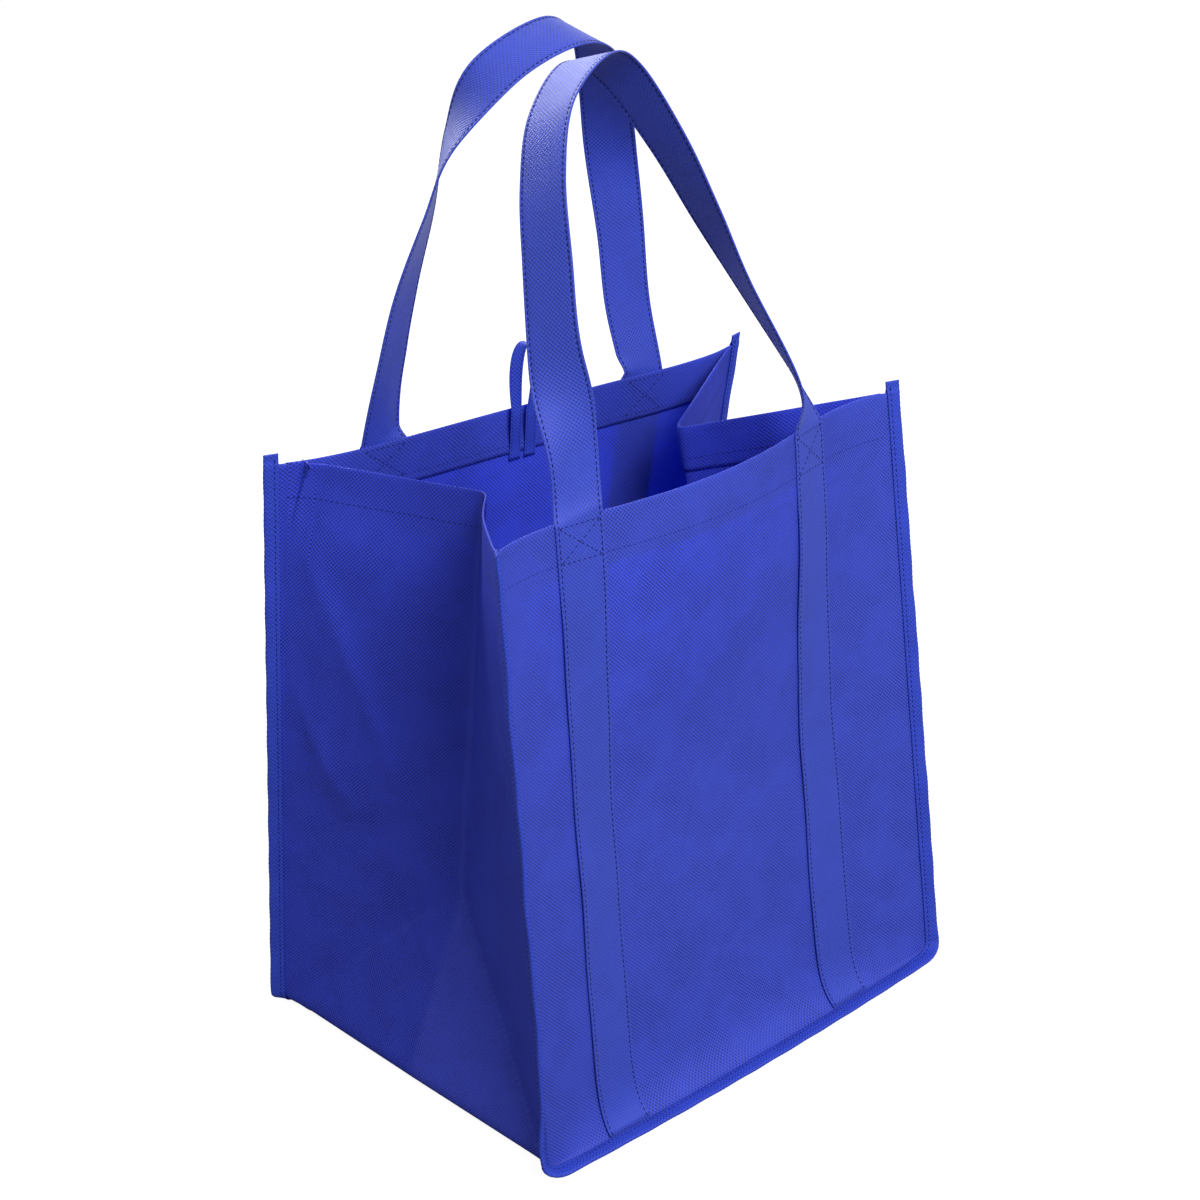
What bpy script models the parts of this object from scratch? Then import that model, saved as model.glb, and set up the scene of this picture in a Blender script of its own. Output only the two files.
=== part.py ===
"""Non-woven shopping bag: a bound and gusseted tote that stands open, both handles leaning together.

Frame: metres, +Z up, the front panel faces -Y, the origin lies under the middle of the base.

The cloth is laid out by its flat sizes. A seam path runs down the left side, along the bottom and up
the right side; "run" is the distance along it from the left rim. The gusset strip follows that path,
and each panel is sewn to one of its edges in a flange that a folded tape binds.
"""

import math

import bmesh
import bpy
from mathutils import Vector

# Cut sizes of the bag.
BAG_WIDTH = 0.330
BAG_DEPTH = 0.254
BAG_HEIGHT = 0.381
CLOTH = 0.0005
LAYER_GAP = 0.0003

# Hems and the bottom folds of the gusset strip.
HEM_DEPTH = 0.032
HEM_SPACING = 0.0010
FOLD_RADIUS = 0.010

# Bound flange along the seams.
FLANGE = 0.0082
TAPE = 0.0004
TAPE_START = 0.0010
TAPE_TAIL = 0.007

# Straps, from the bottom seam up the panel and over as the handle.
STRAP_WIDTH = 0.032
STRAP_THICKNESS = 0.0010
STRAP_PITCH = 0.191
STRAP_SHIFT = -0.007
STRAP_GAP = 0.0004
STRAP_FOOT = 0.0015
HANDLE_RISE = 0.222
HANDLE_LEAN = 0.088

# Hanging loop inside the back hem.
LOOP_WIDTH = 0.008
LOOP_THICKNESS = 0.0004
LOOP_PITCH = 0.011
LOOP_PLACE = -0.0018
LOOP_RISE = 0.046
LOOP_BELLY = 0.004
LOOP_LEAN = 0.004
LOOP_TAIL = 0.030
LOOP_GAP = 0.0007

# Stiffening board on the base.
BOARD_THICKNESS = 0.0015
BOARD_END_CLEARANCE = 0.008
BOARD_SIDE_CLEARANCE = 0.006
BOARD_CORNER = 0.008

# How far each rim corner has moved from above its base corner, (x, y).
FRONT_LEFT_LEAN = (-0.002, 0.011)
FRONT_RIGHT_LEAN = (-0.008, 0.032)
BACK_LEFT_LEAN = (0.005, -0.044)
BACK_RIGHT_LEAN = (0.011, -0.073)

# Soft shape of the panels: hollow body, flare above the bottom seam, waves of the rim.
BODY_HOLLOW = 0.010
FLARE_HEIGHT = 0.012
BASE_BOW = 0.0045
FRONT_RIM_BOW = 0.013
BACK_RIM_BOW = 0.002
BACK_RIM_HOLLOW = 0.010
RIM_WAVE = 1.15
RIM_REACH = 0.55
EDGE_BLEND = 0.020

# Top of the left gusset: its crease stands further out than the cloth allows, its front half bulges,
# and a pleat lies beside the back seam.
LEFT_CREASE_SLACK = 0.008
GUSSET_BULGE = 0.004
PLEAT_RUN = 0.021
PLEAT_HEIGHT = 0.060
PLEAT_STEP = 0.006

# How finely each piece is divided.
CORNER_STEPS = 2
WIDEST_COLUMN = 0.040
GUSSET_COLUMNS = 12
UPPER_ROWS = 8
LOOP_STEPS = 22
HANDLE_STEPS = 44

LEFT, RIGHT = -1, 1
FRONT, BACK = -1, 1
LEAN = {
    (FRONT, LEFT): FRONT_LEFT_LEAN,
    (FRONT, RIGHT): FRONT_RIGHT_LEAN,
    (BACK, LEFT): BACK_LEFT_LEAN,
    (BACK, RIGHT): BACK_RIGHT_LEAN,
}
RIM_BOW = {FRONT: FRONT_RIM_BOW, BACK: BACK_RIM_BOW}
RIM_HOLLOW = {FRONT: 0.0, BACK: BACK_RIM_HOLLOW}

# Guide stations of each handle, from the left rim to the right rim: the share of the way across, the
# share of the lean towards the bag's middle, the share of the rise, then the strap's turn about the
# upright and its tip, in degrees.
FRONT_HANDLE = (
    (0.00, 0.00, 0.00, 0, 0),
    (-0.01, 0.01, 0.20, -6, 7),
    (0.00, 0.15, 0.40, -58, 17),
    (0.06, 0.32, 0.59, -70, 17),
    (0.15, 0.54, 0.76, -76, 21),
    (0.29, 0.76, 0.90, -76, 21),
    (0.51, 0.93, 0.98, -74, 13),
    (0.70, 1.04, 0.91, -84, 23),
    (0.81, 0.86, 0.73, -97, 21),
    (0.87, 0.63, 0.54, -113, 22),
    (0.92, 0.42, 0.37, -131, 20),
    (0.98, 0.09, 0.14, -133, -10),
    (1.00, 0.00, 0.00, -180, 0),
)
BACK_HANDLE = (
    (0.00, 0.00, 0.00, 0, 0),
    (0.02, 0.07, 0.20, 26, -6),
    (0.06, 0.17, 0.41, 33, -3),
    (0.12, 0.28, 0.61, 46, -3),
    (0.17, 0.39, 0.80, 64, 9),
    (0.30, 0.50, 0.96, 110, 17),
    (0.54, 0.48, 1.03, 104, 24),
    (0.74, 0.26, 0.97, 112, 16),
    (0.86, 0.04, 0.81, 124, 6),
    (0.94, -0.12, 0.62, 150, 2),
    (0.97, -0.13, 0.42, 167, -5),
    (0.98, -0.10, 0.20, 173, -3),
    (1.00, 0.00, 0.00, 180, 0),
)

# Worked out from the sizes above.
HALF_WIDTH = BAG_WIDTH / 2
HALF_DEPTH = BAG_DEPTH / 2
PATH_LENGTH = 2 * BAG_HEIGHT + BAG_WIDTH
LAYER_STEP = CLOTH + LAYER_GAP
TAPE_OFFSET = LAYER_STEP / 2 + CLOTH / 2 + LAYER_GAP + TAPE / 2
SEAM_Z = TAPE_OFFSET + TAPE / 2
STRAP_OFFSET = CLOTH / 2 + STRAP_GAP + STRAP_THICKNESS / 2
LOOP_OFFSET = HEM_SPACING + CLOTH / 2 + LOOP_GAP + LOOP_THICKNESS / 2
PROBE = 0.0005


def smooth(value):
    """Ease a value from 0 to 1, and hold it outside that range."""
    value = min(max(value, 0.0), 1.0)
    return value * value * (3 - 2 * value)


def side_seam(face, hand, height):
    """Point on a side seam at a height measured along the cloth."""
    lean_x, lean_y = LEAN[(face, hand)]
    rise = math.sqrt(BAG_HEIGHT**2 - lean_x**2 - lean_y**2)
    foot = Vector((hand * HALF_WIDTH, face * HALF_DEPTH, SEAM_Z))
    return foot + Vector((lean_x, lean_y, rise)) * (height / BAG_HEIGHT)


def crease_point(first, second, radius, anchor, reach, hand):
    """Point at one distance from two seam points and at another from an anchor, inside the bag."""
    axis = (second - first).normalized()
    middle = (first + second) / 2
    depth = math.sqrt(radius**2 - ((second - first).length / 2) ** 2)
    offset = anchor - middle
    along = offset.dot(axis)
    across = offset - axis * along
    distance = across.length
    flat_reach_squared = reach**2 - along**2
    towards = (depth**2 - flat_reach_squared + distance**2) / (2 * distance)
    sideways = math.sqrt(depth**2 - towards**2)
    sideways_axis = axis.cross(across / distance)
    if sideways_axis.x * hand > 0:
        sideways_axis = -sideways_axis
    return middle + across / distance * towards + sideways_axis * sideways


def gusset_crease(hand):
    """Foot, apex and top of the crease down the middle of a gusset."""
    foot = Vector((hand * HALF_WIDTH, 0, CLOTH / 2))
    seams = [side_seam(face, hand, HALF_DEPTH) for face in (FRONT, BACK)]
    apex = crease_point(*seams, HALF_DEPTH, foot, HALF_DEPTH, hand)
    rims = [side_seam(face, hand, BAG_HEIGHT) for face in (FRONT, BACK)]
    top = crease_point(*rims, HALF_DEPTH, apex, BAG_HEIGHT - HALF_DEPTH, hand)
    if hand == LEFT:
        top.x -= LEFT_CREASE_SLACK
    return foot, apex, top


CREASE = {hand: gusset_crease(hand) for hand in (LEFT, RIGHT)}


def pleat_point(straight, height):
    """Move a point of the left gusset on to the pleat in front of the back panel, near the rim."""
    weight = smooth(1 - (BAG_HEIGHT - height) / PLEAT_HEIGHT)
    pleated = sharp_panel_point(BACK, PLEAT_RUN - HALF_WIDTH, height) - Vector((0, PLEAT_STEP, 0))
    return straight.lerp(pleated, weight)


def lower_gusset_point(hand, face, share, height):
    """Point of a gusset below its apex, where two creases run down to the bottom corners."""
    foot, apex, _ = CREASE[hand]
    climb = height / HALF_DEPTH
    centre = foot.lerp(apex, climb)
    crease = side_seam(face, hand, 0).lerp(apex, climb)
    crease_share = 1 - climb
    if share <= crease_share:
        return centre.lerp(crease, share / crease_share)
    return crease.lerp(side_seam(face, hand, height), (share - crease_share) / climb)


def gusset_point(hand, across, height):
    """Point of a gusset: across runs from the front seam to the back seam."""
    face = FRONT if across < 0 else BACK
    share = abs(across) / HALF_DEPTH
    if height < HALF_DEPTH:
        return lower_gusset_point(hand, face, share, height)
    _, apex, top = CREASE[hand]
    climb = (height - HALF_DEPTH) / (BAG_HEIGHT - HALF_DEPTH)
    centre, seam = apex.lerp(top, climb), side_seam(face, hand, height)
    point = centre.lerp(seam, share)
    if hand == RIGHT:
        return point
    if face == FRONT:
        half = seam - centre
        outward = Vector((half.y, -half.x, 0)).normalized()
        return point + outward * (GUSSET_BULGE * math.sin(math.pi * share) * smooth(climb))
    pleat_share = 1 - PLEAT_RUN / HALF_DEPTH
    pleat = pleat_point(centre.lerp(seam, pleat_share), height)
    if share <= pleat_share:
        return centre.lerp(pleat, share / pleat_share)
    return pleat.lerp(seam, (share - pleat_share) / (1 - pleat_share))


def base_bow(x):
    """How far the front and back bottom seams bow out at x."""
    return BASE_BOW * (1 - (x / HALF_WIDTH) ** 2)


def base_point(x, across):
    """Point of the flat base, which rises to the flange along its front and back edges."""
    lift = smooth((abs(across) - HALF_DEPTH + EDGE_BLEND) / EDGE_BLEND)
    y = across * (1 + base_bow(x) / HALF_DEPTH)
    return Vector((x, y, CLOTH / 2 + (SEAM_Z - CLOTH / 2) * lift))


def sharp_strip_point(run, across):
    """Point of the gusset strip before its bottom folds are rounded."""
    if run <= BAG_HEIGHT:
        return gusset_point(LEFT, across, BAG_HEIGHT - run)
    if run < BAG_HEIGHT + BAG_WIDTH:
        return base_point(run - BAG_HEIGHT - HALF_WIDTH, across)
    return gusset_point(RIGHT, across, run - BAG_HEIGHT - BAG_WIDTH)


def fold_share(run):
    """The corner that a run is near and how far round its fold it is, or None on a straight."""
    for corner in (BAG_HEIGHT, BAG_HEIGHT + BAG_WIDTH):
        if abs(run - corner) < FOLD_RADIUS:
            return corner, (run - corner + FOLD_RADIUS) / (2 * FOLD_RADIUS)
    return None


def strip_point(run, across):
    """Point of the gusset strip, with its bottom folds rounded."""
    fold = fold_share(run)
    if fold is None:
        return sharp_strip_point(run, across)
    corner, share = fold
    before = sharp_strip_point(corner - FOLD_RADIUS, across)
    peak = sharp_strip_point(corner, across)
    after = sharp_strip_point(corner + FOLD_RADIUS, across)
    return before.lerp(peak, share).lerp(peak.lerp(after, share), share)


def seam_point(face, run):
    """Point on the seam path, carried on straight past the rim for the ends of the tape."""
    if run < 0:
        rim, below = strip_point(0, face * HALF_DEPTH), strip_point(FLANGE, face * HALF_DEPTH)
        return rim + (rim - below).normalized() * -run
    if run > PATH_LENGTH:
        rim = strip_point(PATH_LENGTH, face * HALF_DEPTH)
        below = strip_point(PATH_LENGTH - FLANGE, face * HALF_DEPTH)
        return rim + (rim - below).normalized() * (run - PATH_LENGTH)
    return strip_point(run, face * HALF_DEPTH)


def side_flange_direction(face, hand, height):
    """Direction of a side flange: away from the panel and the gusset, half way between them."""
    height = min(height, BAG_HEIGHT)
    seam = side_seam(face, hand, height)
    into_gusset = gusset_point(hand, face * (HALF_DEPTH - EDGE_BLEND), height) - seam
    into_panel = side_seam(face, -hand, height) - seam
    into_bag = into_gusset.normalized() + into_panel.normalized()
    return -Vector((into_bag.x, into_bag.y, 0)).normalized()


def flange_direction(face, run):
    """Direction in which the flange stands out of the seam."""
    bottom = Vector((0, face, 0))
    left_corner, right_corner = BAG_HEIGHT, BAG_HEIGHT + BAG_WIDTH
    if run <= left_corner + FOLD_RADIUS:
        height = max(BAG_HEIGHT - run, FOLD_RADIUS)
        share = smooth((run - left_corner + FOLD_RADIUS) / (2 * FOLD_RADIUS))
        side = side_flange_direction(face, LEFT, height)
    elif run >= right_corner - FOLD_RADIUS:
        height = max(run - right_corner, FOLD_RADIUS)
        share = smooth((right_corner + FOLD_RADIUS - run) / (2 * FOLD_RADIUS))
        side = side_flange_direction(face, RIGHT, height)
    else:
        return bottom
    return side.lerp(bottom, share).normalized()


def flange_normal(face, run):
    """Direction through the flange's layers, from the gusset strip to the panel."""
    along = seam_point(face, run + PROBE) - seam_point(face, run - PROBE)
    return (flange_direction(face, run).cross(along) * -face).normalized()


def flange_point(face, run, out, lift):
    """Point at a distance out of the seam and a lift through the flange's layers."""
    direction, normal = flange_direction(face, run), flange_normal(face, run)
    return seam_point(face, run) + direction * out + normal * lift


def gusset_strip_point(run, across):
    """Point of the gusset strip with its two flange edges."""
    face = FRONT if across < 0 else BACK
    out = abs(across) - HALF_DEPTH
    if out > 0:
        return flange_point(face, run, out, -LAYER_STEP / 2)
    weight = smooth(1 + out / EDGE_BLEND)
    inner = strip_point(run, across)
    return inner - flange_normal(face, run) * (LAYER_STEP / 2 * weight) if weight > 0 else inner


def side_run(hand, height):
    """Run of a point at a height on a side seam."""
    return BAG_HEIGHT - height if hand == LEFT else BAG_HEIGHT + BAG_WIDTH + height


def bottom_run(along):
    """Run of a point along the bottom seam."""
    return BAG_HEIGHT + HALF_WIDTH + along


def sharp_panel_point(face, along, height):
    """Point of a panel before its bottom corners are rounded."""
    share = along / HALF_WIDTH
    left, right = side_seam(face, LEFT, height), side_seam(face, RIGHT, height)
    point = left.lerp(right, (1 + share) / 2)
    body = 1 - math.exp(-height / FLARE_HEIGHT)
    rim = smooth((height / BAG_HEIGHT - 1 + RIM_REACH) / RIM_REACH)
    hollow = BODY_HOLLOW * (1 - share**4) * body * (1 - rim) + RIM_HOLLOW[face] * (1 - share**6) * rim
    wave = RIM_BOW[face] * math.cos(math.pi * share / RIM_WAVE) * (1 - share**4) * rim
    bow = base_bow(along) * (1 - body)
    point.y += face * (wave + bow - hollow)
    return point


def corner_shift(face, along, height):
    """Move of a panel point that rounds the panel's bottom corner."""
    hand = LEFT if along < 0 else RIGHT
    inset = min((HALF_WIDTH - abs(along)) / FOLD_RADIUS, 1.0)
    climb = min(height / FOLD_RADIUS, 1.0)
    if inset >= 1 or climb >= 1:
        return Vector()
    side = seam_point(face, side_run(hand, height)) - side_seam(face, hand, height)
    run = bottom_run(along)
    bottom = seam_point(face, run) - sharp_strip_point(run, face * HALF_DEPTH)
    corner = seam_point(face, side_run(hand, 0)) - side_seam(face, hand, 0)
    return side * (1 - inset) + bottom * (1 - climb) - corner * (1 - inset) * (1 - climb)


def panel_point(face, along, height):
    """Point of a panel, with its side and bottom flange edges."""
    hand = LEFT if along < 0 else RIGHT
    out_side, out_bottom = abs(along) - HALF_WIDTH, -height
    if out_side > 0 or out_bottom > 0:
        if out_side >= out_bottom:
            return flange_point(face, side_run(hand, max(height, 0)), out_side, LAYER_STEP / 2)
        along = min(max(along, -HALF_WIDTH), HALF_WIDTH)
        return flange_point(face, bottom_run(along), out_bottom, LAYER_STEP / 2)
    point = sharp_panel_point(face, along, height) + corner_shift(face, along, height)
    side_weight = smooth(1 + out_side / EDGE_BLEND)
    bottom_weight = smooth(1 + out_bottom / EDGE_BLEND)
    lift = Vector()
    if side_weight > 0:
        lift += flange_normal(face, side_run(hand, height)) * side_weight
    if bottom_weight > 0:
        lift += flange_normal(face, bottom_run(along)) * bottom_weight
    if side_weight > 0 and bottom_weight > 0:
        lift -= flange_normal(face, side_run(hand, 0)) * side_weight * bottom_weight
    return point + lift * (LAYER_STEP / 2)


def panel_inward(face, along, height):
    """Unit normal of a panel, into the bag."""
    height = min(max(height, PROBE), BAG_HEIGHT - PROBE)
    sideways = panel_point(face, along + PROBE, height) - panel_point(face, along - PROBE, height)
    upward = panel_point(face, along, height + PROBE) - panel_point(face, along, height - PROBE)
    return (sideways.cross(upward) * face).normalized()


def strip_inward(run, across):
    """Offset direction of the gusset strip into the bag, lengthened where it turns a crease."""
    run = min(max(run, PROBE), PATH_LENGTH - PROBE)
    forward = strip_point(run + PROBE, across) - strip_point(run - PROBE, across)
    before = forward.cross(strip_point(run, across) - strip_point(run, across - PROBE)).normalized()
    after = forward.cross(strip_point(run, across + PROBE) - strip_point(run, across)).normalized()
    return (before + after) / (1 + before.dot(after))


def hem_point(surface, inward, depth):
    """Point of a hem that is folded inwards over the rim.

    surface and inward give the cloth's point and its inward direction at a depth below the rim. A
    depth under nought goes on round the fold by that share of a half turn, and past a half turn down
    the inner layer.
    """
    radius = HEM_SPACING / 2
    if depth >= 0:
        return surface(depth) + inward(depth) * HEM_SPACING
    turn = math.pi * -depth
    rim = surface(0)
    upward = (rim - surface(radius)).normalized()
    return rim + inward(0) * radius * (1 - math.cos(turn)) + upward * radius * math.sin(turn)


def hem_steps():
    """Rows of a hem: two round its fold, then two down its inner layer."""
    return (-0.5, -1.0, HEM_DEPTH / 2, HEM_DEPTH)


def side_heights():
    """Heights of the rows, shared by the panels, the gussets, the tapes and the straps."""
    corner = [FOLD_RADIUS * step / CORNER_STEPS for step in range(CORNER_STEPS + 1)]
    half_columns = GUSSET_COLUMNS // 2
    lower = [HALF_DEPTH * step / half_columns for step in range(1, half_columns + 1)]
    upper_height = BAG_HEIGHT - HALF_DEPTH
    upper = [HALF_DEPTH + upper_height * step / UPPER_ROWS for step in range(1, UPPER_ROWS + 1)]
    return corner + lower + upper


def strap_place(hand):
    """Place along a panel of the middle of a strap."""
    return STRAP_SHIFT + hand * STRAP_PITCH / 2


def bottom_stations():
    """Places of the columns along the bottom, with one at each edge and the middle of a strap."""
    corner = [HALF_WIDTH - FOLD_RADIUS * step / CORNER_STEPS for step in range(CORNER_STEPS + 1)]
    straps = [strap_place(hand) + STRAP_WIDTH / 2 * side for hand in (LEFT, RIGHT) for side in (-1, 0, 1)]
    marks = [-place for place in corner] + straps + corner[::-1]
    stations = marks[:1]
    for start, end in zip(marks, marks[1:]):
        steps = math.ceil((end - start) / WIDEST_COLUMN)
        stations += [start + (end - start) * step / steps for step in range(1, steps + 1)]
    return stations


def path_stations():
    """Runs of all stations along the seam path."""
    left = [side_run(LEFT, height) for height in reversed(side_heights())]
    bottom = [bottom_run(place) for place in bottom_stations()[1:-1]]
    right = [side_run(RIGHT, height) for height in side_heights()]
    return left + bottom + right


def sheet(name, rows, columns, place, keep=None, turned=None):
    """Make a mesh grid and move each point to its place.

    rows and columns are the values handed to place, keep says which grid points stay, and turned says
    which squares are split along their other diagonal, so that layers that lie together match.
    """
    grid = bmesh.new()
    last_row, last_column = len(rows) - 1, len(columns) - 1
    points = bmesh.ops.create_grid(grid, x_segments=last_column, y_segments=last_row, size=1)
    if turned is not None:
        other_way = []
        for square in grid.faces:
            centre = square.calc_center_median()
            column, row = int((centre.x + 1) / 2 * last_column), int((centre.y + 1) / 2 * last_row)
            if turned(rows[row], columns[column]):
                other_way.append(square)
        bmesh.ops.triangulate(grid, faces=other_way, quad_method="ALTERNATE")
    bmesh.ops.triangulate(grid, faces=grid.faces, quad_method="FIXED")
    dropped = []
    for point in points["verts"]:
        column = columns[round((point.co.x + 1) / 2 * last_column)]
        row = rows[round((point.co.y + 1) / 2 * last_row)]
        if keep is None or keep(row, column):
            point.co = place(row, column)
        else:
            dropped.append(point)
    bmesh.ops.delete(grid, geom=dropped, context="VERTS")
    bmesh.ops.remove_doubles(grid, verts=grid.verts, dist=1e-6)
    mesh = bpy.data.meshes.new(name)
    grid.to_mesh(mesh)
    grid.free()
    return mesh


def cloth_material(name, colour, roughness=0.75):
    """Plain finish of one kind of piece."""
    material = bpy.data.materials.new(name)
    material.use_nodes = True
    shader = material.node_tree.nodes["Principled BSDF"]
    shader.inputs["Base Color"].default_value = (*colour, 1.0)
    shader.inputs["Roughness"].default_value = roughness
    shader.inputs["Metallic"].default_value = 0.0
    material.diffuse_color = (*colour, 1.0)
    return material


def add_object(name, mesh, collection, material, thickness=None):
    """Add a mesh to the bag, given a thickness if it is an open sheet."""
    mesh.materials.append(material)
    item = bpy.data.objects.new(name, mesh)
    collection.objects.link(item)
    if thickness is not None:
        solid = item.modifiers.new("thickness", "SOLIDIFY")
        solid.thickness = thickness
        solid.offset = 0.0
        solid.use_even_offset = True
    return item


def make_panel(name, face, collection, material):
    """One panel with its flange edges and its hem."""
    columns = bottom_stations()
    columns = [columns[0] - FLANGE] + columns + [columns[-1] + FLANGE]
    flat_rows = [("flat", height) for height in [-FLANGE] + side_heights()]
    rows = flat_rows + [("hem", depth) for depth in hem_steps()]

    def place(row, along):
        kind, value = row
        if kind == "flat":
            return panel_point(face, along, value)
        return hem_point(
            lambda depth: panel_point(face, along, BAG_HEIGHT - depth),
            lambda depth: panel_inward(face, along, BAG_HEIGHT - depth),
            value,
        )

    def keep(row, along):
        return row[0] == "flat" or abs(along) < HALF_WIDTH - FOLD_RADIUS + PROBE

    def turned(row, _along):
        return row == flat_rows[0]

    mesh = sheet(name, rows, columns, place, keep, turned)
    add_object(name, mesh, collection, material, CLOTH)


def make_gusset_strip(collection, material):
    """Left gusset, base and right gusset in one strip, with a hem at each end."""
    half = GUSSET_COLUMNS // 2
    across_values = [HALF_DEPTH * step / half for step in range(-half, half + 1)]
    columns = [-HALF_DEPTH - FLANGE] + across_values + [HALF_DEPTH + FLANGE]
    hem = hem_steps()
    rows = [("left hem", depth) for depth in reversed(hem)]
    rows += [("flat", run) for run in path_stations()]
    rows += [("right hem", depth) for depth in hem]

    def place(row, across):
        kind, value = row
        if kind == "flat":
            return gusset_strip_point(value, across)
        start, way = (0.0, 1) if kind == "left hem" else (PATH_LENGTH, -1)
        return hem_point(
            lambda depth: gusset_strip_point(start + way * depth, across),
            lambda depth: strip_inward(start + way * depth, across),
            value,
        )

    def keep(row, across):
        return row[0] == "flat" or abs(across) < HALF_DEPTH - FOLD_RADIUS

    def turned(row, across):
        if across in (columns[0], columns[-2]):
            return across == columns[0]
        on_left, on_right = row[1] < BAG_HEIGHT, row[1] >= BAG_HEIGHT + BAG_WIDTH
        return row[0] == "flat" and (on_left and across < 0 or on_right and across >= 0)

    mesh = sheet("gusset_strip", rows, columns, place, keep, turned)
    add_object("gusset_strip", mesh, collection, material, CLOTH)


def make_binding(name, face, collection, material):
    """Tape folded over one flange, down one side, along the bottom and up the other side."""
    bend = FLANGE + (LAYER_STEP + CLOTH) / 2 - LAYER_GAP
    section = [(TAPE_START, TAPE_OFFSET), (bend, TAPE_OFFSET), (bend + TAPE_OFFSET, 0.0)]
    section += [(out, -lift) for out, lift in section[1::-1]]
    stations = [-TAPE_TAIL] + path_stations() + [PATH_LENGTH + TAPE_TAIL]

    def place(run, spot):
        return flange_point(face, run, *spot)

    def turned(_run, spot):
        return spot[1] <= 0

    mesh = sheet(name, stations, section, place, turned=turned)
    add_object(name, mesh, collection, material, TAPE)


def spline(values, share):
    """Value of a smooth curve through evenly spaced values."""
    place = share * (len(values) - 1)
    index = min(int(place), len(values) - 2)
    local = place - index
    start, end = values[index], values[index + 1]
    before = values[index - 1] if index > 0 else 2 * start - end
    after = values[index + 2] if index + 2 < len(values) else 2 * end - start
    slope_start, slope_end = (end - before) / 2, (after - start) / 2
    square, cube = local**2, local**3
    return (
        start * (2 * cube - 3 * square + 1)
        + slope_start * (cube - 2 * square + local)
        + end * (3 * square - 2 * cube)
        + slope_end * (cube - square)
    )


def strap_point(face, along, height):
    """Point of a strap's middle layer where it lies on its panel."""
    return panel_point(face, along, height) - panel_inward(face, along, height) * STRAP_OFFSET


def rim_turn(face, hand):
    """Angle in plan of the rim behind a strap."""
    inner = strap_point(face, strap_place(hand) - hand * STRAP_WIDTH / 2, BAG_HEIGHT)
    outer = strap_point(face, strap_place(hand) + hand * STRAP_WIDTH / 2, BAG_HEIGHT)
    across = (outer - inner) * hand
    return math.atan2(across.y, across.x)


def handle_point(face, guide, share, across):
    """Point of a handle between its two rim points: across runs over the strap's width."""
    way_across, lean, rise, turn, tip = (spline(values, share) for values in zip(*guide))
    left = strap_point(face, strap_place(LEFT), BAG_HEIGHT)
    right = strap_point(face, strap_place(RIGHT), BAG_HEIGHT)
    centre = left.lerp(right, way_across)
    centre += Vector((0, -face * lean * HANDLE_LEAN, rise * HANDLE_RISE))
    rim = rim_turn(face, LEFT) * (1 - share) + rim_turn(face, RIGHT) * share
    turn, tip = math.radians(turn) + rim, math.radians(tip)
    width = Vector((math.cos(turn) * math.cos(tip), math.sin(turn) * math.cos(tip), math.sin(tip)))
    return centre + width * across


def make_handle(name, face, guide, collection, material):
    """One strap, from the bottom seam up the panel, over as the handle and down again."""
    heights = [STRAP_FOOT] + [height for height in side_heights() if height > STRAP_FOOT]
    rows = [(LEFT, height) for height in heights]
    rows += [("handle", step / HANDLE_STEPS) for step in range(1, HANDLE_STEPS)]
    rows += [(RIGHT, height) for height in reversed(heights)]

    def place(row, across):
        kind, value = row
        if kind == "handle":
            return handle_point(face, guide, value, across)
        return strap_point(face, strap_place(kind) - kind * across, value)

    columns = [-STRAP_WIDTH / 2, 0.0, STRAP_WIDTH / 2]
    add_object(name, sheet(name, rows, columns, place), collection, material, STRAP_THICKNESS)


def make_hanging_loop(collection, material):
    """Narrow tape sewn inside the back hem by both its ends."""
    rim_inset = [LOOP_TAIL * (1 - step / 3) for step in range(3)]
    rows = [(LEFT, depth) for depth in rim_inset]
    rows += [("loop", step / LOOP_STEPS) for step in range(LOOP_STEPS + 1)]
    rows += [(RIGHT, depth) for depth in reversed(rim_inset)]

    def leg_point(along, depth):
        height = BAG_HEIGHT - depth
        return panel_point(BACK, along, height) + panel_inward(BACK, along, height) * LOOP_OFFSET

    def place(row, across):
        kind, value = row
        if kind != "loop":
            return leg_point(LOOP_PLACE + kind * (LOOP_PITCH / 2 - across), value)
        half_turn = math.pi * value
        belly = 1 + LOOP_BELLY / (LOOP_PITCH / 2) * math.sin(half_turn)
        left, right = leg_point(LOOP_PLACE - LOOP_PITCH / 2, 0), leg_point(LOOP_PLACE + LOOP_PITCH / 2, 0)
        centre = left.lerp(right, (1 - math.cos(half_turn) * belly) / 2)
        centre += Vector((0, -LOOP_LEAN, LOOP_RISE)) * math.sin(half_turn)
        return centre + Vector((math.cos(half_turn), -math.sin(half_turn), 0)) * across

    columns = [-LOOP_WIDTH / 2, LOOP_WIDTH / 2]
    mesh = sheet("hanging_loop", rows, columns, place)
    add_object("hanging_loop", mesh, collection, material, LOOP_THICKNESS)


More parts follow.
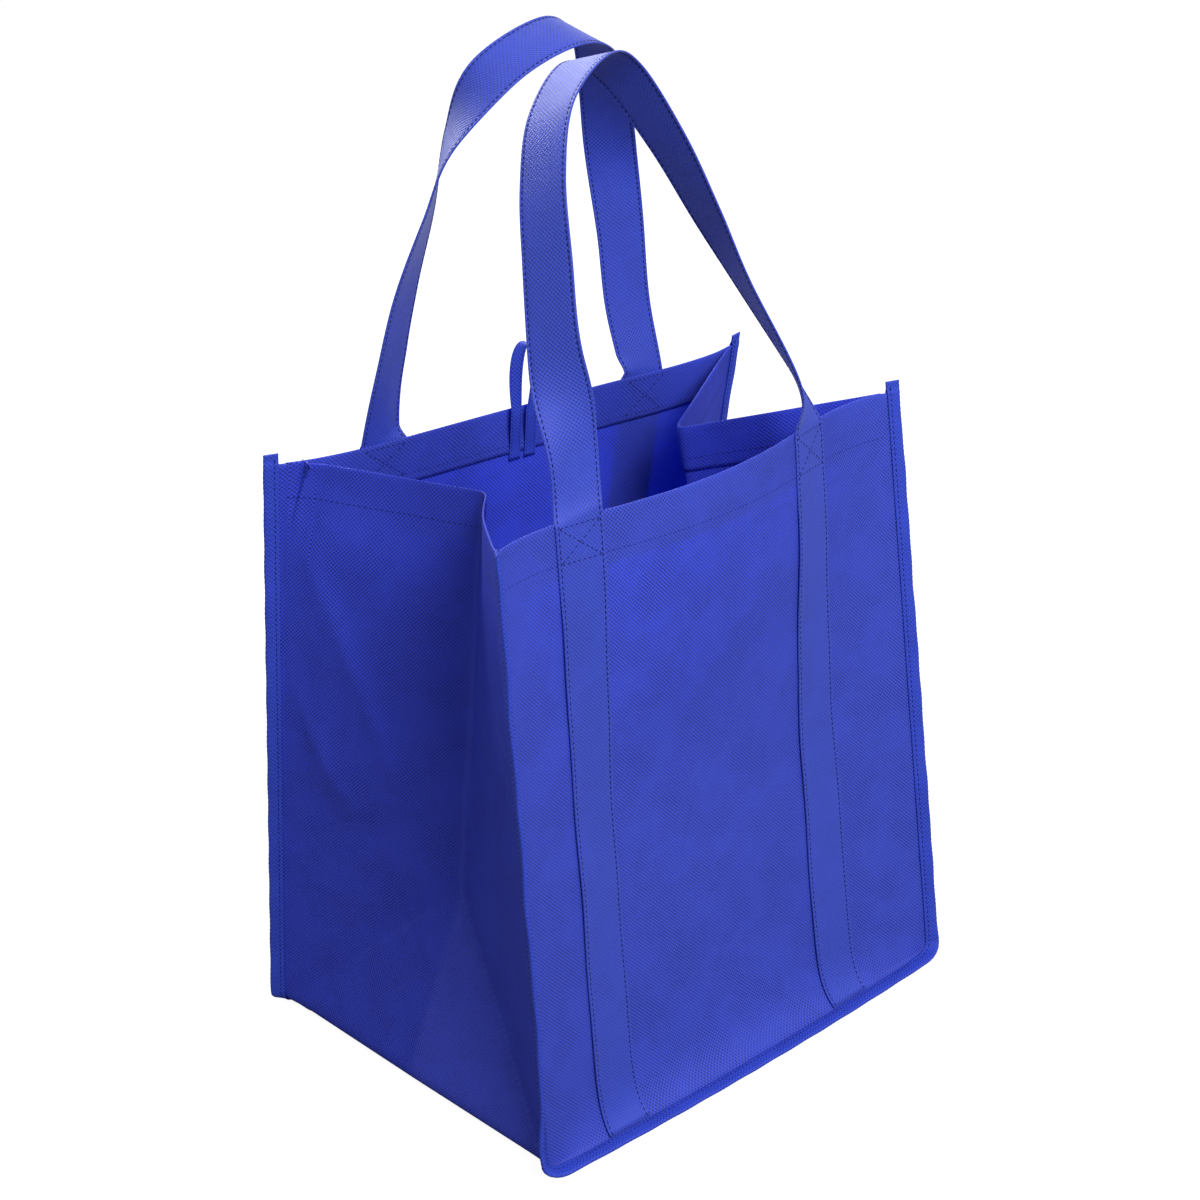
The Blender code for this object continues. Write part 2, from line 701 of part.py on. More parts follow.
def make_base_board(collection, material):
    """Loose stiffening board that lies on the base, inside the bag."""
    length = BAG_WIDTH - 2 * BOARD_END_CLEARANCE
    depth = BAG_DEPTH - 2 * BOARD_SIDE_CLEARANCE
    underside = SEAM_Z - LAYER_STEP / 2 + CLOTH / 2 + LAYER_GAP
    board = bmesh.new()
    bmesh.ops.create_cube(board, size=1)
    bmesh.ops.scale(board, vec=(length, depth, BOARD_THICKNESS), verts=board.verts)
    bmesh.ops.translate(board, vec=(0, 0, underside + BOARD_THICKNESS / 2), verts=board.verts)
    upright = [edge for edge in board.edges if abs(edge.verts[0].co.z - edge.verts[1].co.z) > PROBE]
    bmesh.ops.bevel(board, geom=upright, offset=BOARD_CORNER, segments=4, profile=0.5, affect="EDGES")
    mesh = bpy.data.meshes.new("base_board")
    board.to_mesh(mesh)
    board.free()
    add_object("base_board", mesh, collection, material)


def main():
    """Build the bag in its own collection."""
    for item in list(bpy.data.objects):
        bpy.data.objects.remove(item, do_unlink=True)
    bag = bpy.data.collections.new("non_woven_shopping_bag")
    bpy.context.scene.collection.children.link(bag)

    panel_cloth = cloth_material("panel cloth", (0.045, 0.070, 0.50))
    gusset_cloth = cloth_material("gusset cloth", (0.030, 0.045, 0.40))
    binding_tape = cloth_material("binding tape", (0.055, 0.080, 0.52))
    strap_cloth = cloth_material("strap cloth", (0.060, 0.085, 0.55))
    loop_tape = cloth_material("loop tape", (0.060, 0.085, 0.50))
    board_plastic = cloth_material("board plastic", (0.030, 0.040, 0.25), 0.45)

    make_panel("front_panel", FRONT, bag, panel_cloth)
    make_panel("back_panel", BACK, bag, panel_cloth)
    make_gusset_strip(bag, gusset_cloth)
    make_binding("front_binding", FRONT, bag, binding_tape)
    make_binding("back_binding", BACK, bag, binding_tape)
    make_handle("front_handle", FRONT, FRONT_HANDLE, bag, strap_cloth)
    make_handle("back_handle", BACK, BACK_HANDLE, bag, strap_cloth)
    make_hanging_loop(bag, loop_tape)
    make_base_board(bag, board_plastic)


main()
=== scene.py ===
"""Non-woven shopping bag: its cloth, tapes, straps and stitching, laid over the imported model.

Metres, +Z up, the front panel faces -Y, the origin lies under the middle of the base. Each sheet is laid
out by the sizes it was cut to. A seam path runs down the left side, along the bottom and up the right
side: "run" is the distance along it from the left rim. "Across" is the distance over the gusset strip from
its middle to the back, and "along" the distance over a panel from its middle to the right.
"""

from __future__ import annotations

import logging
import math
from dataclasses import dataclass, field
from enum import IntEnum
from functools import cached_property
from typing import Iterable, Sequence

import bmesh
import bpy
import numpy as np
from mathutils import Matrix, Vector

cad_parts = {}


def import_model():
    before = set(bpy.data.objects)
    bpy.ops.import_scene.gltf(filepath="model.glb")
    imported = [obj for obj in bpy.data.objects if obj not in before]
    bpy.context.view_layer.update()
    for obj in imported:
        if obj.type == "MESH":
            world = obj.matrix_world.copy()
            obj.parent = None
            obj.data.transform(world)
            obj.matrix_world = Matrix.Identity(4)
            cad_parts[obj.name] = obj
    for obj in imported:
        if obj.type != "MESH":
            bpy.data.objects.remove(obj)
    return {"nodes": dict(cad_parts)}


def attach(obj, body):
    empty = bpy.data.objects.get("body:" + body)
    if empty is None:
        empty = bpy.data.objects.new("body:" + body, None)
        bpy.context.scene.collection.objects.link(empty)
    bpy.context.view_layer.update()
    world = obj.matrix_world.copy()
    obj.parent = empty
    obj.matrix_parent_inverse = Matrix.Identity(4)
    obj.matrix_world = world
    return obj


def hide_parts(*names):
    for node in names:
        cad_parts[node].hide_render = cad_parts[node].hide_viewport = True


LOG = logging.getLogger("shopping_bag")

MM = 0.001
BODY = "root"
CLOTH_UV = "cloth"
# Cloth attribute that pales the colour: real whitening along the folds, and painted light on the gusset's
# front triangle.
FOLD_WEAR_AND_PAINTED_LIGHT = "fold_wear_and_painted_light"

Array = np.ndarray
Places = float | np.ndarray
Line = tuple[np.ndarray, np.ndarray]


class Face(IntEnum):
    """Front or back of the bag, by the sign of its Y."""

    FRONT = -1
    BACK = 1


class Hand(IntEnum):
    """Left or right side of the bag, by the sign of its X."""

    LEFT = -1
    RIGHT = 1


# How far each rim corner has moved from above its base corner, (x, y).
RIM_LEAN = {
    (Face.FRONT, Hand.LEFT): (-0.002, 0.011),
    (Face.FRONT, Hand.RIGHT): (-0.008, 0.032),
    (Face.BACK, Hand.LEFT): (0.005, -0.044),
    (Face.BACK, Hand.RIGHT): (0.011, -0.073),
}

# Guide stations of each handle, from the left rim to the right rim: the share of the way across, the
# share of the lean towards the bag's middle, the share of the rise, then the strap's turn about the
# upright and its tip, in degrees.
FRONT_GUIDE = (
    (0.00, 0.00, 0.00, 0, 0),
    (-0.01, 0.01, 0.20, -6, 7),
    (0.00, 0.15, 0.40, -58, 17),
    (0.06, 0.32, 0.59, -70, 17),
    (0.15, 0.54, 0.76, -76, 21),
    (0.29, 0.76, 0.90, -76, 21),
    (0.51, 0.93, 0.98, -74, 13),
    (0.70, 1.04, 0.91, -84, 23),
    (0.81, 0.86, 0.73, -97, 21),
    (0.87, 0.63, 0.54, -113, 22),
    (0.92, 0.42, 0.37, -131, 20),
    (0.98, 0.09, 0.14, -133, -10),
    (1.00, 0.00, 0.00, -180, 0),
)
BACK_GUIDE = (
    (0.00, 0.00, 0.00, 0, 0),
    (0.02, 0.07, 0.20, 26, -6),
    (0.06, 0.17, 0.41, 33, -3),
    (0.12, 0.28, 0.61, 46, -3),
    (0.17, 0.39, 0.80, 64, 9),
    (0.30, 0.50, 0.96, 110, 17),
    (0.54, 0.48, 1.03, 104, 24),
    (0.74, 0.26, 0.97, 112, 16),
    (0.86, 0.04, 0.81, 124, 6),
    (0.94, -0.12, 0.62, 150, 2),
    (0.97, -0.13, 0.42, 167, -5),
    (0.98, -0.10, 0.20, 173, -3),
    (1.00, 0.00, 0.00, 180, 0),
)


def smooth(value: Places) -> Places:
    """Ease values from 0 to 1, and hold them outside that range."""
    value = np.clip(value, 0.0, 1.0)
    return value * value * (3 - 2 * value)


def bell(offset: Places, width: float) -> Places:
    """Bell curve of height one."""
    return np.exp(-((offset / width) ** 2))


def unit(vectors: Array) -> Array:
    """Vectors of length one."""
    return vectors / np.linalg.norm(vectors, axis=-1, keepdims=True)


def mix(start: Array, end: Array, share: Places) -> Array:
    """Points on the way from start to end."""
    share = np.asarray(share, float)[..., None]
    return start * (1 - share) + end * share


def pick(test: Array, yes: Array, no: Array) -> Array:
    """Points from yes where the test holds, and from no elsewhere."""
    return np.where(np.asarray(test)[..., None], yes, no)


def steps(start: float, end: float, widest: float) -> Array:
    """Evenly spaced values from start to end, no further apart than widest."""
    return np.linspace(start, end, max(2, math.ceil(abs(end - start) / widest) + 1))


def run_lengths(points: Array) -> Array:
    """Distance of each point from the first, along a line of points."""
    return np.concatenate([[0], np.cumsum(np.linalg.norm(np.diff(points, axis=0), axis=1))])


def flat_grid(columns: Array, rows: Array) -> Array:
    """Places on the flat cloth, from the places of its columns and its rows."""
    return np.stack(np.broadcast_arrays(columns[None], rows[:, None]), -1)


def linear(code: str) -> list[float]:
    """Linear colour of an sRGB hex code."""
    shares = [int(code[place : place + 2], 16) / 255 for place in (1, 3, 5)]
    return [share / 12.92 if share <= 0.04045 else ((share + 0.055) / 1.055) ** 2.4 for share in shares]


def shaded(colour: Sequence[float], factor: float, lift: float = 0.0) -> list[float]:
    """A linear colour made darker or lighter, with its alpha."""
    return [min(1.0, share * factor + lift) for share in colour] + [1.0]


@dataclass(frozen=True)
class Waves:
    """Soft uneven waves over a cloth, the same on every run.

    Args:
        seed: Picks the waves.
        height: Typical height of the sum, in metres.
        shortest: Shortest wave, in metres.
        longest: Longest wave, in metres.
        count: Number of waves.
    """

    seed: int
    height: float
    shortest: float
    longest: float
    count: int = 7

    def at(self, across: Array, along: Array) -> Array:
        """Height of the waves at places on the cloth.

        Args:
            across: Places in one direction of the cloth.
            along: Places in the other direction.

        Returns:
            Heights, in metres.
        """
        source = np.random.default_rng(self.seed)
        total = 0.0
        for _ in range(self.count):
            length = source.uniform(self.shortest, self.longest)
            heading, start = source.uniform(0, math.pi), source.uniform(0, 2 * math.pi)
            spot = across * math.cos(heading) + along * math.sin(heading)
            total = total + np.sin(2 * math.pi * spot / length + start)
        return total * self.height / math.sqrt(self.count)


@dataclass(frozen=True)
class BagForm:
    """Cut sizes of the bag and the way its cloth stands.

    The methods give points of its surfaces, for arrays of places on the cloth.
    """

    width: float = 0.330
    depth: float = 0.254
    height: float = 0.381
    cloth: float = 0.0005
    layer_gap: float = 0.0003
    fold_radius: float = 0.010
    flange: float = 0.0082
    tape: float = 0.0004
    body_hollow: float = 0.010
    flare_height: float = 0.012
    base_bow: float = 0.0045
    front_rim_bow: float = 0.013
    back_rim_bow: float = 0.002
    back_rim_hollow: float = 0.010
    rim_wave: float = 1.15
    rim_reach: float = 0.55
    edge_blend: float = 0.020
    left_crease_slack: float = 0.008
    gusset_bulge: float = 0.004
    pleat_run: float = 0.0125
    pleat_height: float = 0.060
    pleat_step: float = 0.0035
    probe: float = 0.0005
    flange_waver: float = 0.07
    waver_lengths: tuple[float, float] = (0.0173, 0.0087)
    waver_starts: tuple[float, float] = (1.1, 0.4)
    waver_ease: float = 0.02
    front_left_turn: float = 0.42
    turn_start: float = 0.015
    turn_reach: float = 0.05

    @property
    def half_width(self) -> float:
        """Half of the bag's width."""
        return self.width / 2

    @property
    def half_depth(self) -> float:
        """Half of the bag's depth, which is also the height of a gusset's apex along the cloth."""
        return self.depth / 2

    @property
    def path_length(self) -> float:
        """Length of the seam path."""
        return 2 * self.height + self.width

    @property
    def layer_step(self) -> float:
        """Distance between the middles of two layers in the flange."""
        return self.cloth + self.layer_gap

    @property
    def tape_offset(self) -> float:
        """Distance of the tape's middle from the middle of the flange."""
        return self.layer_step / 2 + self.cloth / 2 + self.layer_gap + self.tape / 2

    @property
    def seam_z(self) -> float:
        """Height of the bottom seams."""
        return self.tape_offset + self.tape / 2

    def side_seam(self, face: Face, hand: Hand, height: Places) -> Array:
        """Points on a side seam.

        Args:
            face: Front or back.
            hand: Left or right.
            height: Heights along the cloth.

        Returns:
            A point for each height.
        """
        lean_x, lean_y = RIM_LEAN[(face, hand)]
        rise = math.sqrt(self.height**2 - lean_x**2 - lean_y**2)
        foot = np.array((hand * self.half_width, face * self.half_depth, self.seam_z))
        share = np.asarray(height, float)[..., None] / self.height
        return foot + np.array((lean_x, lean_y, rise)) * share

    def crease_point(
        self, seams: Sequence[Array], radius: float, anchor: Array, reach: float, hand: Hand
    ) -> Array:
        """Where a gusset's crease comes to lie, with its cloth unstretched.

        Args:
            seams: The points of the front and the back seam at that height.
            radius: Distance from both of them, along the cloth.
            anchor: A lower point of the crease.
            reach: Distance from that point.
            hand: Side of the bag.

        Returns:
            The point that keeps these distances and lies inside the bag.
        """
        first, second = seams
        axis = unit(second - first)
        middle = (first + second) / 2
        depth = math.sqrt(radius**2 - (np.linalg.norm(second - first) / 2) ** 2)
        offset = anchor - middle
        along = offset @ axis
        across = offset - axis * along
        distance = np.linalg.norm(across)
        towards = (depth**2 - (reach**2 - along**2) + distance**2) / (2 * distance)
        sideways = math.sqrt(depth**2 - towards**2)
        sideways_axis = np.cross(axis, across / distance)
        if sideways_axis[0] * hand > 0:
            sideways_axis = -sideways_axis
        return middle + across / distance * towards + sideways_axis * sideways

    @cached_property
    def creases(self) -> dict[Hand, tuple[Array, Array, Array]]:
        """Foot, apex and top of the crease down the middle of each gusset.

        Returns:
            The three points of each side.
        """
        found = {}
        half = self.half_depth
        for hand in Hand:
            foot = np.array((hand * self.half_width, 0, self.cloth / 2))
            seams = [self.side_seam(face, hand, half) for face in Face]
            apex = self.crease_point(seams, half, foot, half, hand)
            rims = [self.side_seam(face, hand, self.height) for face in Face]
            top = self.crease_point(rims, half, apex, self.height - half, hand)
            if hand == Hand.LEFT:
                top = top - np.array((self.left_crease_slack, 0, 0))
            found[hand] = (foot, apex, top)
        return found

    def lower_gusset(self, hand: Hand, front: Array, share: Array, height: Array) -> Array:
        """Points of a gusset below its apex, where two creases run down to the bottom corners.

        Args:
            hand: Side of the bag.
            front: Marks the points of the front half.
            share: Shares of the way to the seam.
            height: Heights along the cloth.

        Returns:
            Points of the gusset.
        """
        foot, apex, _ = self.creases[hand]
        climb = np.clip(height / self.half_depth, 1e-6, 1)
        seam = pick(front, *(self.side_seam(face, hand, height) for face in Face))
        corner = pick(front, *(self.side_seam(face, hand, 0 * climb) for face in Face))
        centre, crease = mix(foot, apex, climb), mix(corner, apex, climb)
        crease_share = np.maximum(1 - climb, 1e-9)
        inner = mix(centre, crease, np.clip(share / crease_share, 0, 1))
        outer = mix(crease, seam, np.clip((share - crease_share) / climb, 0, 1))
        return pick(share <= crease_share, inner, outer)

    def upper_gusset(self, hand: Hand, front: Array, share: Array, height: Array) -> Array:
        """Points of a gusset above its apex, folded in two, on the left with its pleat and bulge.

        Args:
            hand: Side of the bag.
            front: Marks the points of the front half.
            share: Shares of the way to the seam.
            height: Heights along the cloth.

        Returns:
            Points of the gusset.
        """
        _, apex, top = self.creases[hand]
        climb = np.clip((height - self.half_depth) / (self.height - self.half_depth), 0, 1)
        centre = mix(apex, top, climb)
        seam = pick(front, *(self.side_seam(face, hand, height) for face in Face))
        point = mix(centre, seam, share)
        if hand == Hand.RIGHT:
            return point
        half = seam - centre
        outward = unit(np.stack((half[..., 1], -half[..., 0], 0 * half[..., 2]), -1))
        bulge = self.gusset_bulge * np.sin(math.pi * share) * smooth(climb)
        pleat_share = 1 - self.pleat_run / self.half_depth
        straight = mix(centre, seam, pleat_share + 0 * share)
        weight = smooth(1 - (self.height - height) / self.pleat_height)
        pleated = self.sharp_panel(Face.BACK, self.pleat_run - self.half_width, height)
        pleat = mix(straight, pleated - np.array((0, self.pleat_step, 0)), weight)
        inner = mix(centre, pleat, np.clip(share / pleat_share, 0, 1))
        outer = mix(pleat, seam, np.clip((share - pleat_share) / (1 - pleat_share), 0, 1))
        folded = pick(share <= pleat_share, inner, outer)
        return pick(front, point + outward * bulge[..., None], folded)

    def gusset(self, hand: Hand, across: Places, height: Places) -> Array:
        """Points of a gusset.

        Args:
            hand: Side of the bag.
            across: Distances over it, from the front seam to the back seam.
            height: Heights along the cloth.

        Returns:
            Points of the gusset.
        """
        across, height = np.broadcast_arrays(across, height)
        front, share = across < 0, np.abs(across) / self.half_depth
        lower = self.lower_gusset(hand, front, share, height)
        upper = self.upper_gusset(hand, front, share, height)
        return pick(height < self.half_depth, lower, upper)

    def bow(self, x: Places) -> Places:
        """How far the front and back bottom seams bow out at x."""
        return self.base_bow * (1 - (x / self.half_width) ** 2)

    def base(self, x: Array, across: Array) -> Array:
        """Points of the flat base, which rises to the flange along its front and back edges.

        Args:
            x: Places from the left to the right.
            across: Distances over the strip.

        Returns:
            Points of the base.
        """
        lift = smooth((np.abs(across) - self.half_depth + self.edge_blend) / self.edge_blend)
        y = across * (1 + self.bow(x) / self.half_depth)
        z = self.cloth / 2 + (self.seam_z - self.cloth / 2) * lift
        return np.stack(np.broadcast_arrays(x, y, z), -1)

    def sharp_strip(self, run: Places, across: Places) -> Array:
        """Points of the gusset strip before its bottom folds are rounded.

        Args:
            run: Runs along the seam path.
            across: Distances over the strip.

        Returns:
            Points of the strip.
        """
        run, across = np.broadcast_arrays(run, across)
        first, second = self.height, self.height + self.width
        left = self.gusset(Hand.LEFT, across, np.clip(first - run, 0, self.height))
        right = self.gusset(Hand.RIGHT, across, np.clip(run - second, 0, self.height))
        base = self.base(np.clip(run - first, 0, self.width) - self.half_width, across)
        return pick(run <= first, left, pick(run < second, base, right))

    def strip(self, run: Places, across: Places) -> Array:
        """Points of the gusset strip, with its bottom folds rounded.

        Args:
            run: Runs along the seam path.
            across: Distances over the strip.

        Returns:
            Points of the strip.
        """
        run, across = np.broadcast_arrays(run, across)
        points = self.sharp_strip(run, across)
        radius = self.fold_radius
        for corner in (self.height, self.height + self.width):
            near = np.abs(run - corner) < radius
            if not near.any():
                continue
            share = (run[near] - corner + radius) / (2 * radius)
            sides = [self.sharp_strip(corner + shift, across[near]) for shift in (-radius, 0, radius)]
            before, peak, after = sides
            points[near] = mix(mix(before, peak, share), mix(peak, after, share), share)
        return points

    def seam(self, face: Face, run: Places) -> Array:
        """Points on the seam path, carried on straight past the rim for the ends of the tape.

        Args:
            face: Front or back.
            run: Runs along the seam path.

        Returns:
            Points on the seam.
        """
        run = np.asarray(run, float)
        across = face * self.half_depth
        points = self.strip(np.clip(run, 0, self.path_length), across + 0 * run)
        ends = ((0.0, self.flange, -run), (self.path_length, -self.flange, run - self.path_length))
        for rim, inside, over in ends:
            top, below = self.strip(rim, across), self.strip(rim + inside, across)
            points = points + unit(top - below) * np.maximum(over, 0)[..., None]
        return points

    def side_flange_direction(self, face: Face, hand: Hand, height: Places) -> Array:
        """Directions of a side flange: away from the panel and the gusset, half way between them.

        Args:
            face: Front or back.
            hand: Left or right.
            height: Heights along the cloth.

        Returns:
            Directions out of the seam.
        """
        height = np.minimum(height, self.height)
        seam = self.side_seam(face, hand, height)
        into_gusset = self.gusset(hand, face * (self.half_depth - self.edge_blend), height) - seam
        into_panel = self.side_seam(face, Hand(-hand), height) - seam
        into_bag = unit(into_gusset) + unit(into_panel)
        outward = -unit(into_bag * np.array((1, 1, 0)))
        if (face, hand) != (Face.FRONT, Hand.LEFT):
            return outward
        turn = (self.front_left_turn * smooth((height - self.turn_start) / self.turn_reach))[..., None]
        sideways = np.stack([-outward[..., 1], outward[..., 0], outward[..., 2]], -1)
        return outward * np.cos(turn) + sideways * np.sin(turn)

    def flange_direction(self, face: Face, run: Places) -> Array:
        """Directions in which the flange stands out of the seam, round both bottom corners.

        Args:
            face: Front or back.
            run: Runs along the seam path.

        Returns:
            Directions out of the seam.
        """
        run = np.asarray(run, float)
        radius, first, second = self.fold_radius, self.height, self.height + self.width
        left_side = self.side_flange_direction(face, Hand.LEFT, np.maximum(first - run, radius))
        right_side = self.side_flange_direction(face, Hand.RIGHT, np.maximum(run - second, radius))
        on_left = run < self.path_length / 2
        side = pick(on_left, left_side, right_side)
        past = np.where(on_left, run - first, second - run)
        return unit(mix(side, np.array((0.0, face, 0.0)), smooth((past + radius) / (2 * radius))))

    def flange_frame(self, face: Face, run: Places) -> Line:
        """Directions of the flange, which wavers a little up its sides.

        Args:
            face: Front or back.
            run: Runs along the seam path.

        Returns:
            Directions out of the seam, and directions through the layers from the strip to the panel.
        """
        along = unit(self.seam(face, run + self.probe) - self.seam(face, run - self.probe))
        direction = self.flange_direction(face, run)
        normal = unit(np.cross(direction, along) * -face)
        (slow, fast), (slow_start, fast_start) = self.waver_lengths, self.waver_starts
        waver = np.sin(run / slow + slow_start * face) + np.sin(run / fast + fast_start)
        from_middle = np.abs(run - 0.5 * self.path_length)
        on_side = smooth((from_middle - self.half_width) / self.waver_ease)
        below_rim = smooth((0.5 * self.path_length - from_middle) / self.waver_ease)
        tilt = (self.flange_waver * waver / 2 * on_side * below_rim)[..., None]
        out = direction * np.cos(tilt) + normal * np.sin(tilt)
        return out, normal * np.cos(tilt) - direction * np.sin(tilt)

    def on_flange(self, face: Face, run: Places, out: Places, lift: Places) -> Array:
        """Points on the flange.

        Args:
            face: Front or back.
            run: Runs along the seam path.
            out: Distances out of the seam.
            lift: Distances through the layers, from the middle of the flange towards the panel.

        Returns:
            Points on the flange.
        """
        run, out, lift = np.broadcast_arrays(np.asarray(run, float), out, lift)
        direction, normal = self.flange_frame(face, run)
        return self.seam(face, run) + direction * out[..., None] + normal * lift[..., None]

    def gusset_strip(self, run: Places, across: Places) -> Array:
        """Points of the gusset strip with its two flange edges.

        Args:
            run: Runs along the seam path.
            across: Distances over the strip, past the seams in the flanges.

        Returns:
            Points of the strip.
        """
        run, across = np.broadcast_arrays(np.asarray(run, float), across)
        points = self.strip(run, np.clip(across, -self.half_depth, self.half_depth))
        for face in Face:
            out = face * across - self.half_depth
            near = out > -self.edge_blend
            direction, normal = self.flange_frame(face, run[near])
            weight = smooth(1 + out[near] / self.edge_blend)[..., None]
            points[near] += direction * np.maximum(out[near], 0)[..., None]
            points[near] -= normal * (self.layer_step / 2) * weight
        return points

    def side_run(self, hand: Hand, height: Places) -> Places:
        """Runs of points at heights on a side seam."""
        return self.height - height if hand == Hand.LEFT else self.height + self.width + height

    def bottom_run(self, along: Places) -> Places:
        """Runs of points along the bottom seam."""
        return self.height + self.half_width + along

    def sharp_panel(self, face: Face, along: Places, height: Places) -> Array:
        """Points of a panel before its bottom corners are rounded.

        Args:
            face: Front or back.
            along: Distances from its middle to the right.
            height: Heights along the cloth.

        Returns:
            Points of the panel.
        """
        along, height = np.broadcast_arrays(along, height)
        share = along / self.half_width
        left, right = (self.side_seam(face, hand, height) for hand in Hand)
        points = mix(left, right, (1 + share) / 2)
        body = 1 - np.exp(-height / self.flare_height)
        rim = smooth((height / self.height - 1 + self.rim_reach) / self.rim_reach)
        rim_hollow = self.back_rim_hollow if face == Face.BACK else 0.0
        rim_bow = self.back_rim_bow if face == Face.BACK else self.front_rim_bow
        hollow = self.body_hollow * (1 - share**4) * body * (1 - rim) + rim_hollow * (1 - share**6) * rim
        wave = rim_bow * np.cos(math.pi * share / self.rim_wave) * (1 - share**4) * rim
        points[..., 1] += face * (wave + self.bow(along) * (1 - body) - hollow)
        return points

    def corner_shift(self, face: Face, along: Array, height: Array) -> Array:
        """Moves of panel points that round the panel's bottom corners.

        Args:
            face: Front or back.
            along: Distances from its middle to the right.
            height: Heights along the cloth.

        Returns:
            A move for each point, nought away from the corners.
        """
        radius = self.fold_radius
        total = np.zeros(along.shape + (3,))
        for hand in Hand:
            inset = (self.half_width - hand * along) / radius
            near = (inset < 1) & (height < radius)
            if not near.any():
                continue
            inset, climb = inset[near], height[near] / radius
            side_run = self.side_run(hand, height[near])
            side = self.seam(face, side_run) - self.side_seam(face, hand, height[near])
            run = self.bottom_run(along[near])
            bottom = self.seam(face, run) - self.sharp_strip(run, face * self.half_depth + 0 * run)
            corner = self.seam(face, self.side_run(hand, 0.0)) - self.side_seam(face, hand, 0.0)
            shares = ((1 - inset)[..., None], (1 - climb)[..., None])
            total[near] = side * shares[0] + bottom * shares[1] - corner * shares[0] * shares[1]
        return total

    def panel(self, face: Face, along: Places, height: Places) -> Array:
        """Points of a panel, with its side and bottom flange edges.

        Args:
            face: Front or back.
            along: Distances from its middle to the right, past the side seams in the flanges.
            height: Heights along the cloth, below nought in the bottom flange.

        Returns:
            Points of the panel.
        """
        along, height = np.broadcast_arrays(np.asarray(along, float), height)
        inner_along = np.clip(along, -self.half_width, self.half_width)
        inner_height = np.maximum(height, 0)
        points = self.sharp_panel(face, inner_along, inner_height)
        points = points + self.corner_shift(face, inner_along, inner_height)
        blend = self.edge_blend
        side_weight = smooth(1 + (np.abs(inner_along) - self.half_width) / blend)
        bottom_weight = smooth(1 - inner_height / blend)
        left = along < 0
        side_run = np.where(left, *(self.side_run(hand, inner_height) for hand in Hand))
        corner_run = np.where(left, *(self.side_run(hand, 0.0) for hand in Hand))
        lift = np.zeros_like(points)
        for run, weight in (
            (side_run, side_weight),
            (self.bottom_run(inner_along), bottom_weight),
            (corner_run, -side_weight * bottom_weight),
        ):
            near = weight != 0
            lift[near] += self.flange_frame(face, run[near])[1] * weight[near][..., None]
        points = points + lift * (self.layer_step / 2)
        out_side, out_bottom = np.abs(along) - self.half_width, -height
        on_side = (out_side > 0) & (out_side >= out_bottom)
        on_bottom = (out_bottom > 0) & ~on_side
        lifted = self.layer_step / 2
        points[on_side] = self.on_flange(face, side_run[on_side], out_side[on_side], lifted)
        bottom_run = self.bottom_run(inner_along)[on_bottom]
        points[on_bottom] = self.on_flange(face, bottom_run, out_bottom[on_bottom], lifted)
        return points


def grid_normals(points: Array, sign: float = 1.0) -> Array:
    """Unit normals of a grid of points.

    Args:
        points: Grid of points.
        sign: Turns the normals round where it is below nought.

    Returns:
        A normal for each point.
    """
    rows = np.gradient(points, axis=0)
    columns = np.gradient(points, axis=1)
    return unit(np.cross(columns, rows)) * sign


def relax(points: Array, rounds: int, held: Array) -> Array:
    """Soften the creases of a grid of points.

    Args:
        points: Grid of points.
        rounds: How often each point moves half way to the mean of its neighbours.
        held: Says which points stay where they are.

    Returns:
        The softened grid.
    """
    points = points.copy()
    for _ in range(rounds):
        padded = np.pad(points, ((1, 1), (1, 1), (0, 0)), mode="edge")
        mean = (padded[:-2, 1:-1] + padded[2:, 1:-1] + padded[1:-1, :-2] + padded[1:-1, 2:]) / 4
        mean[0] = (padded[1, :-2] + padded[1, 2:]) / 2
        mean[-1] = (padded[-2, :-2] + padded[-2, 2:]) / 2
        points = pick(held, points, (points + mean) / 2)
    return points


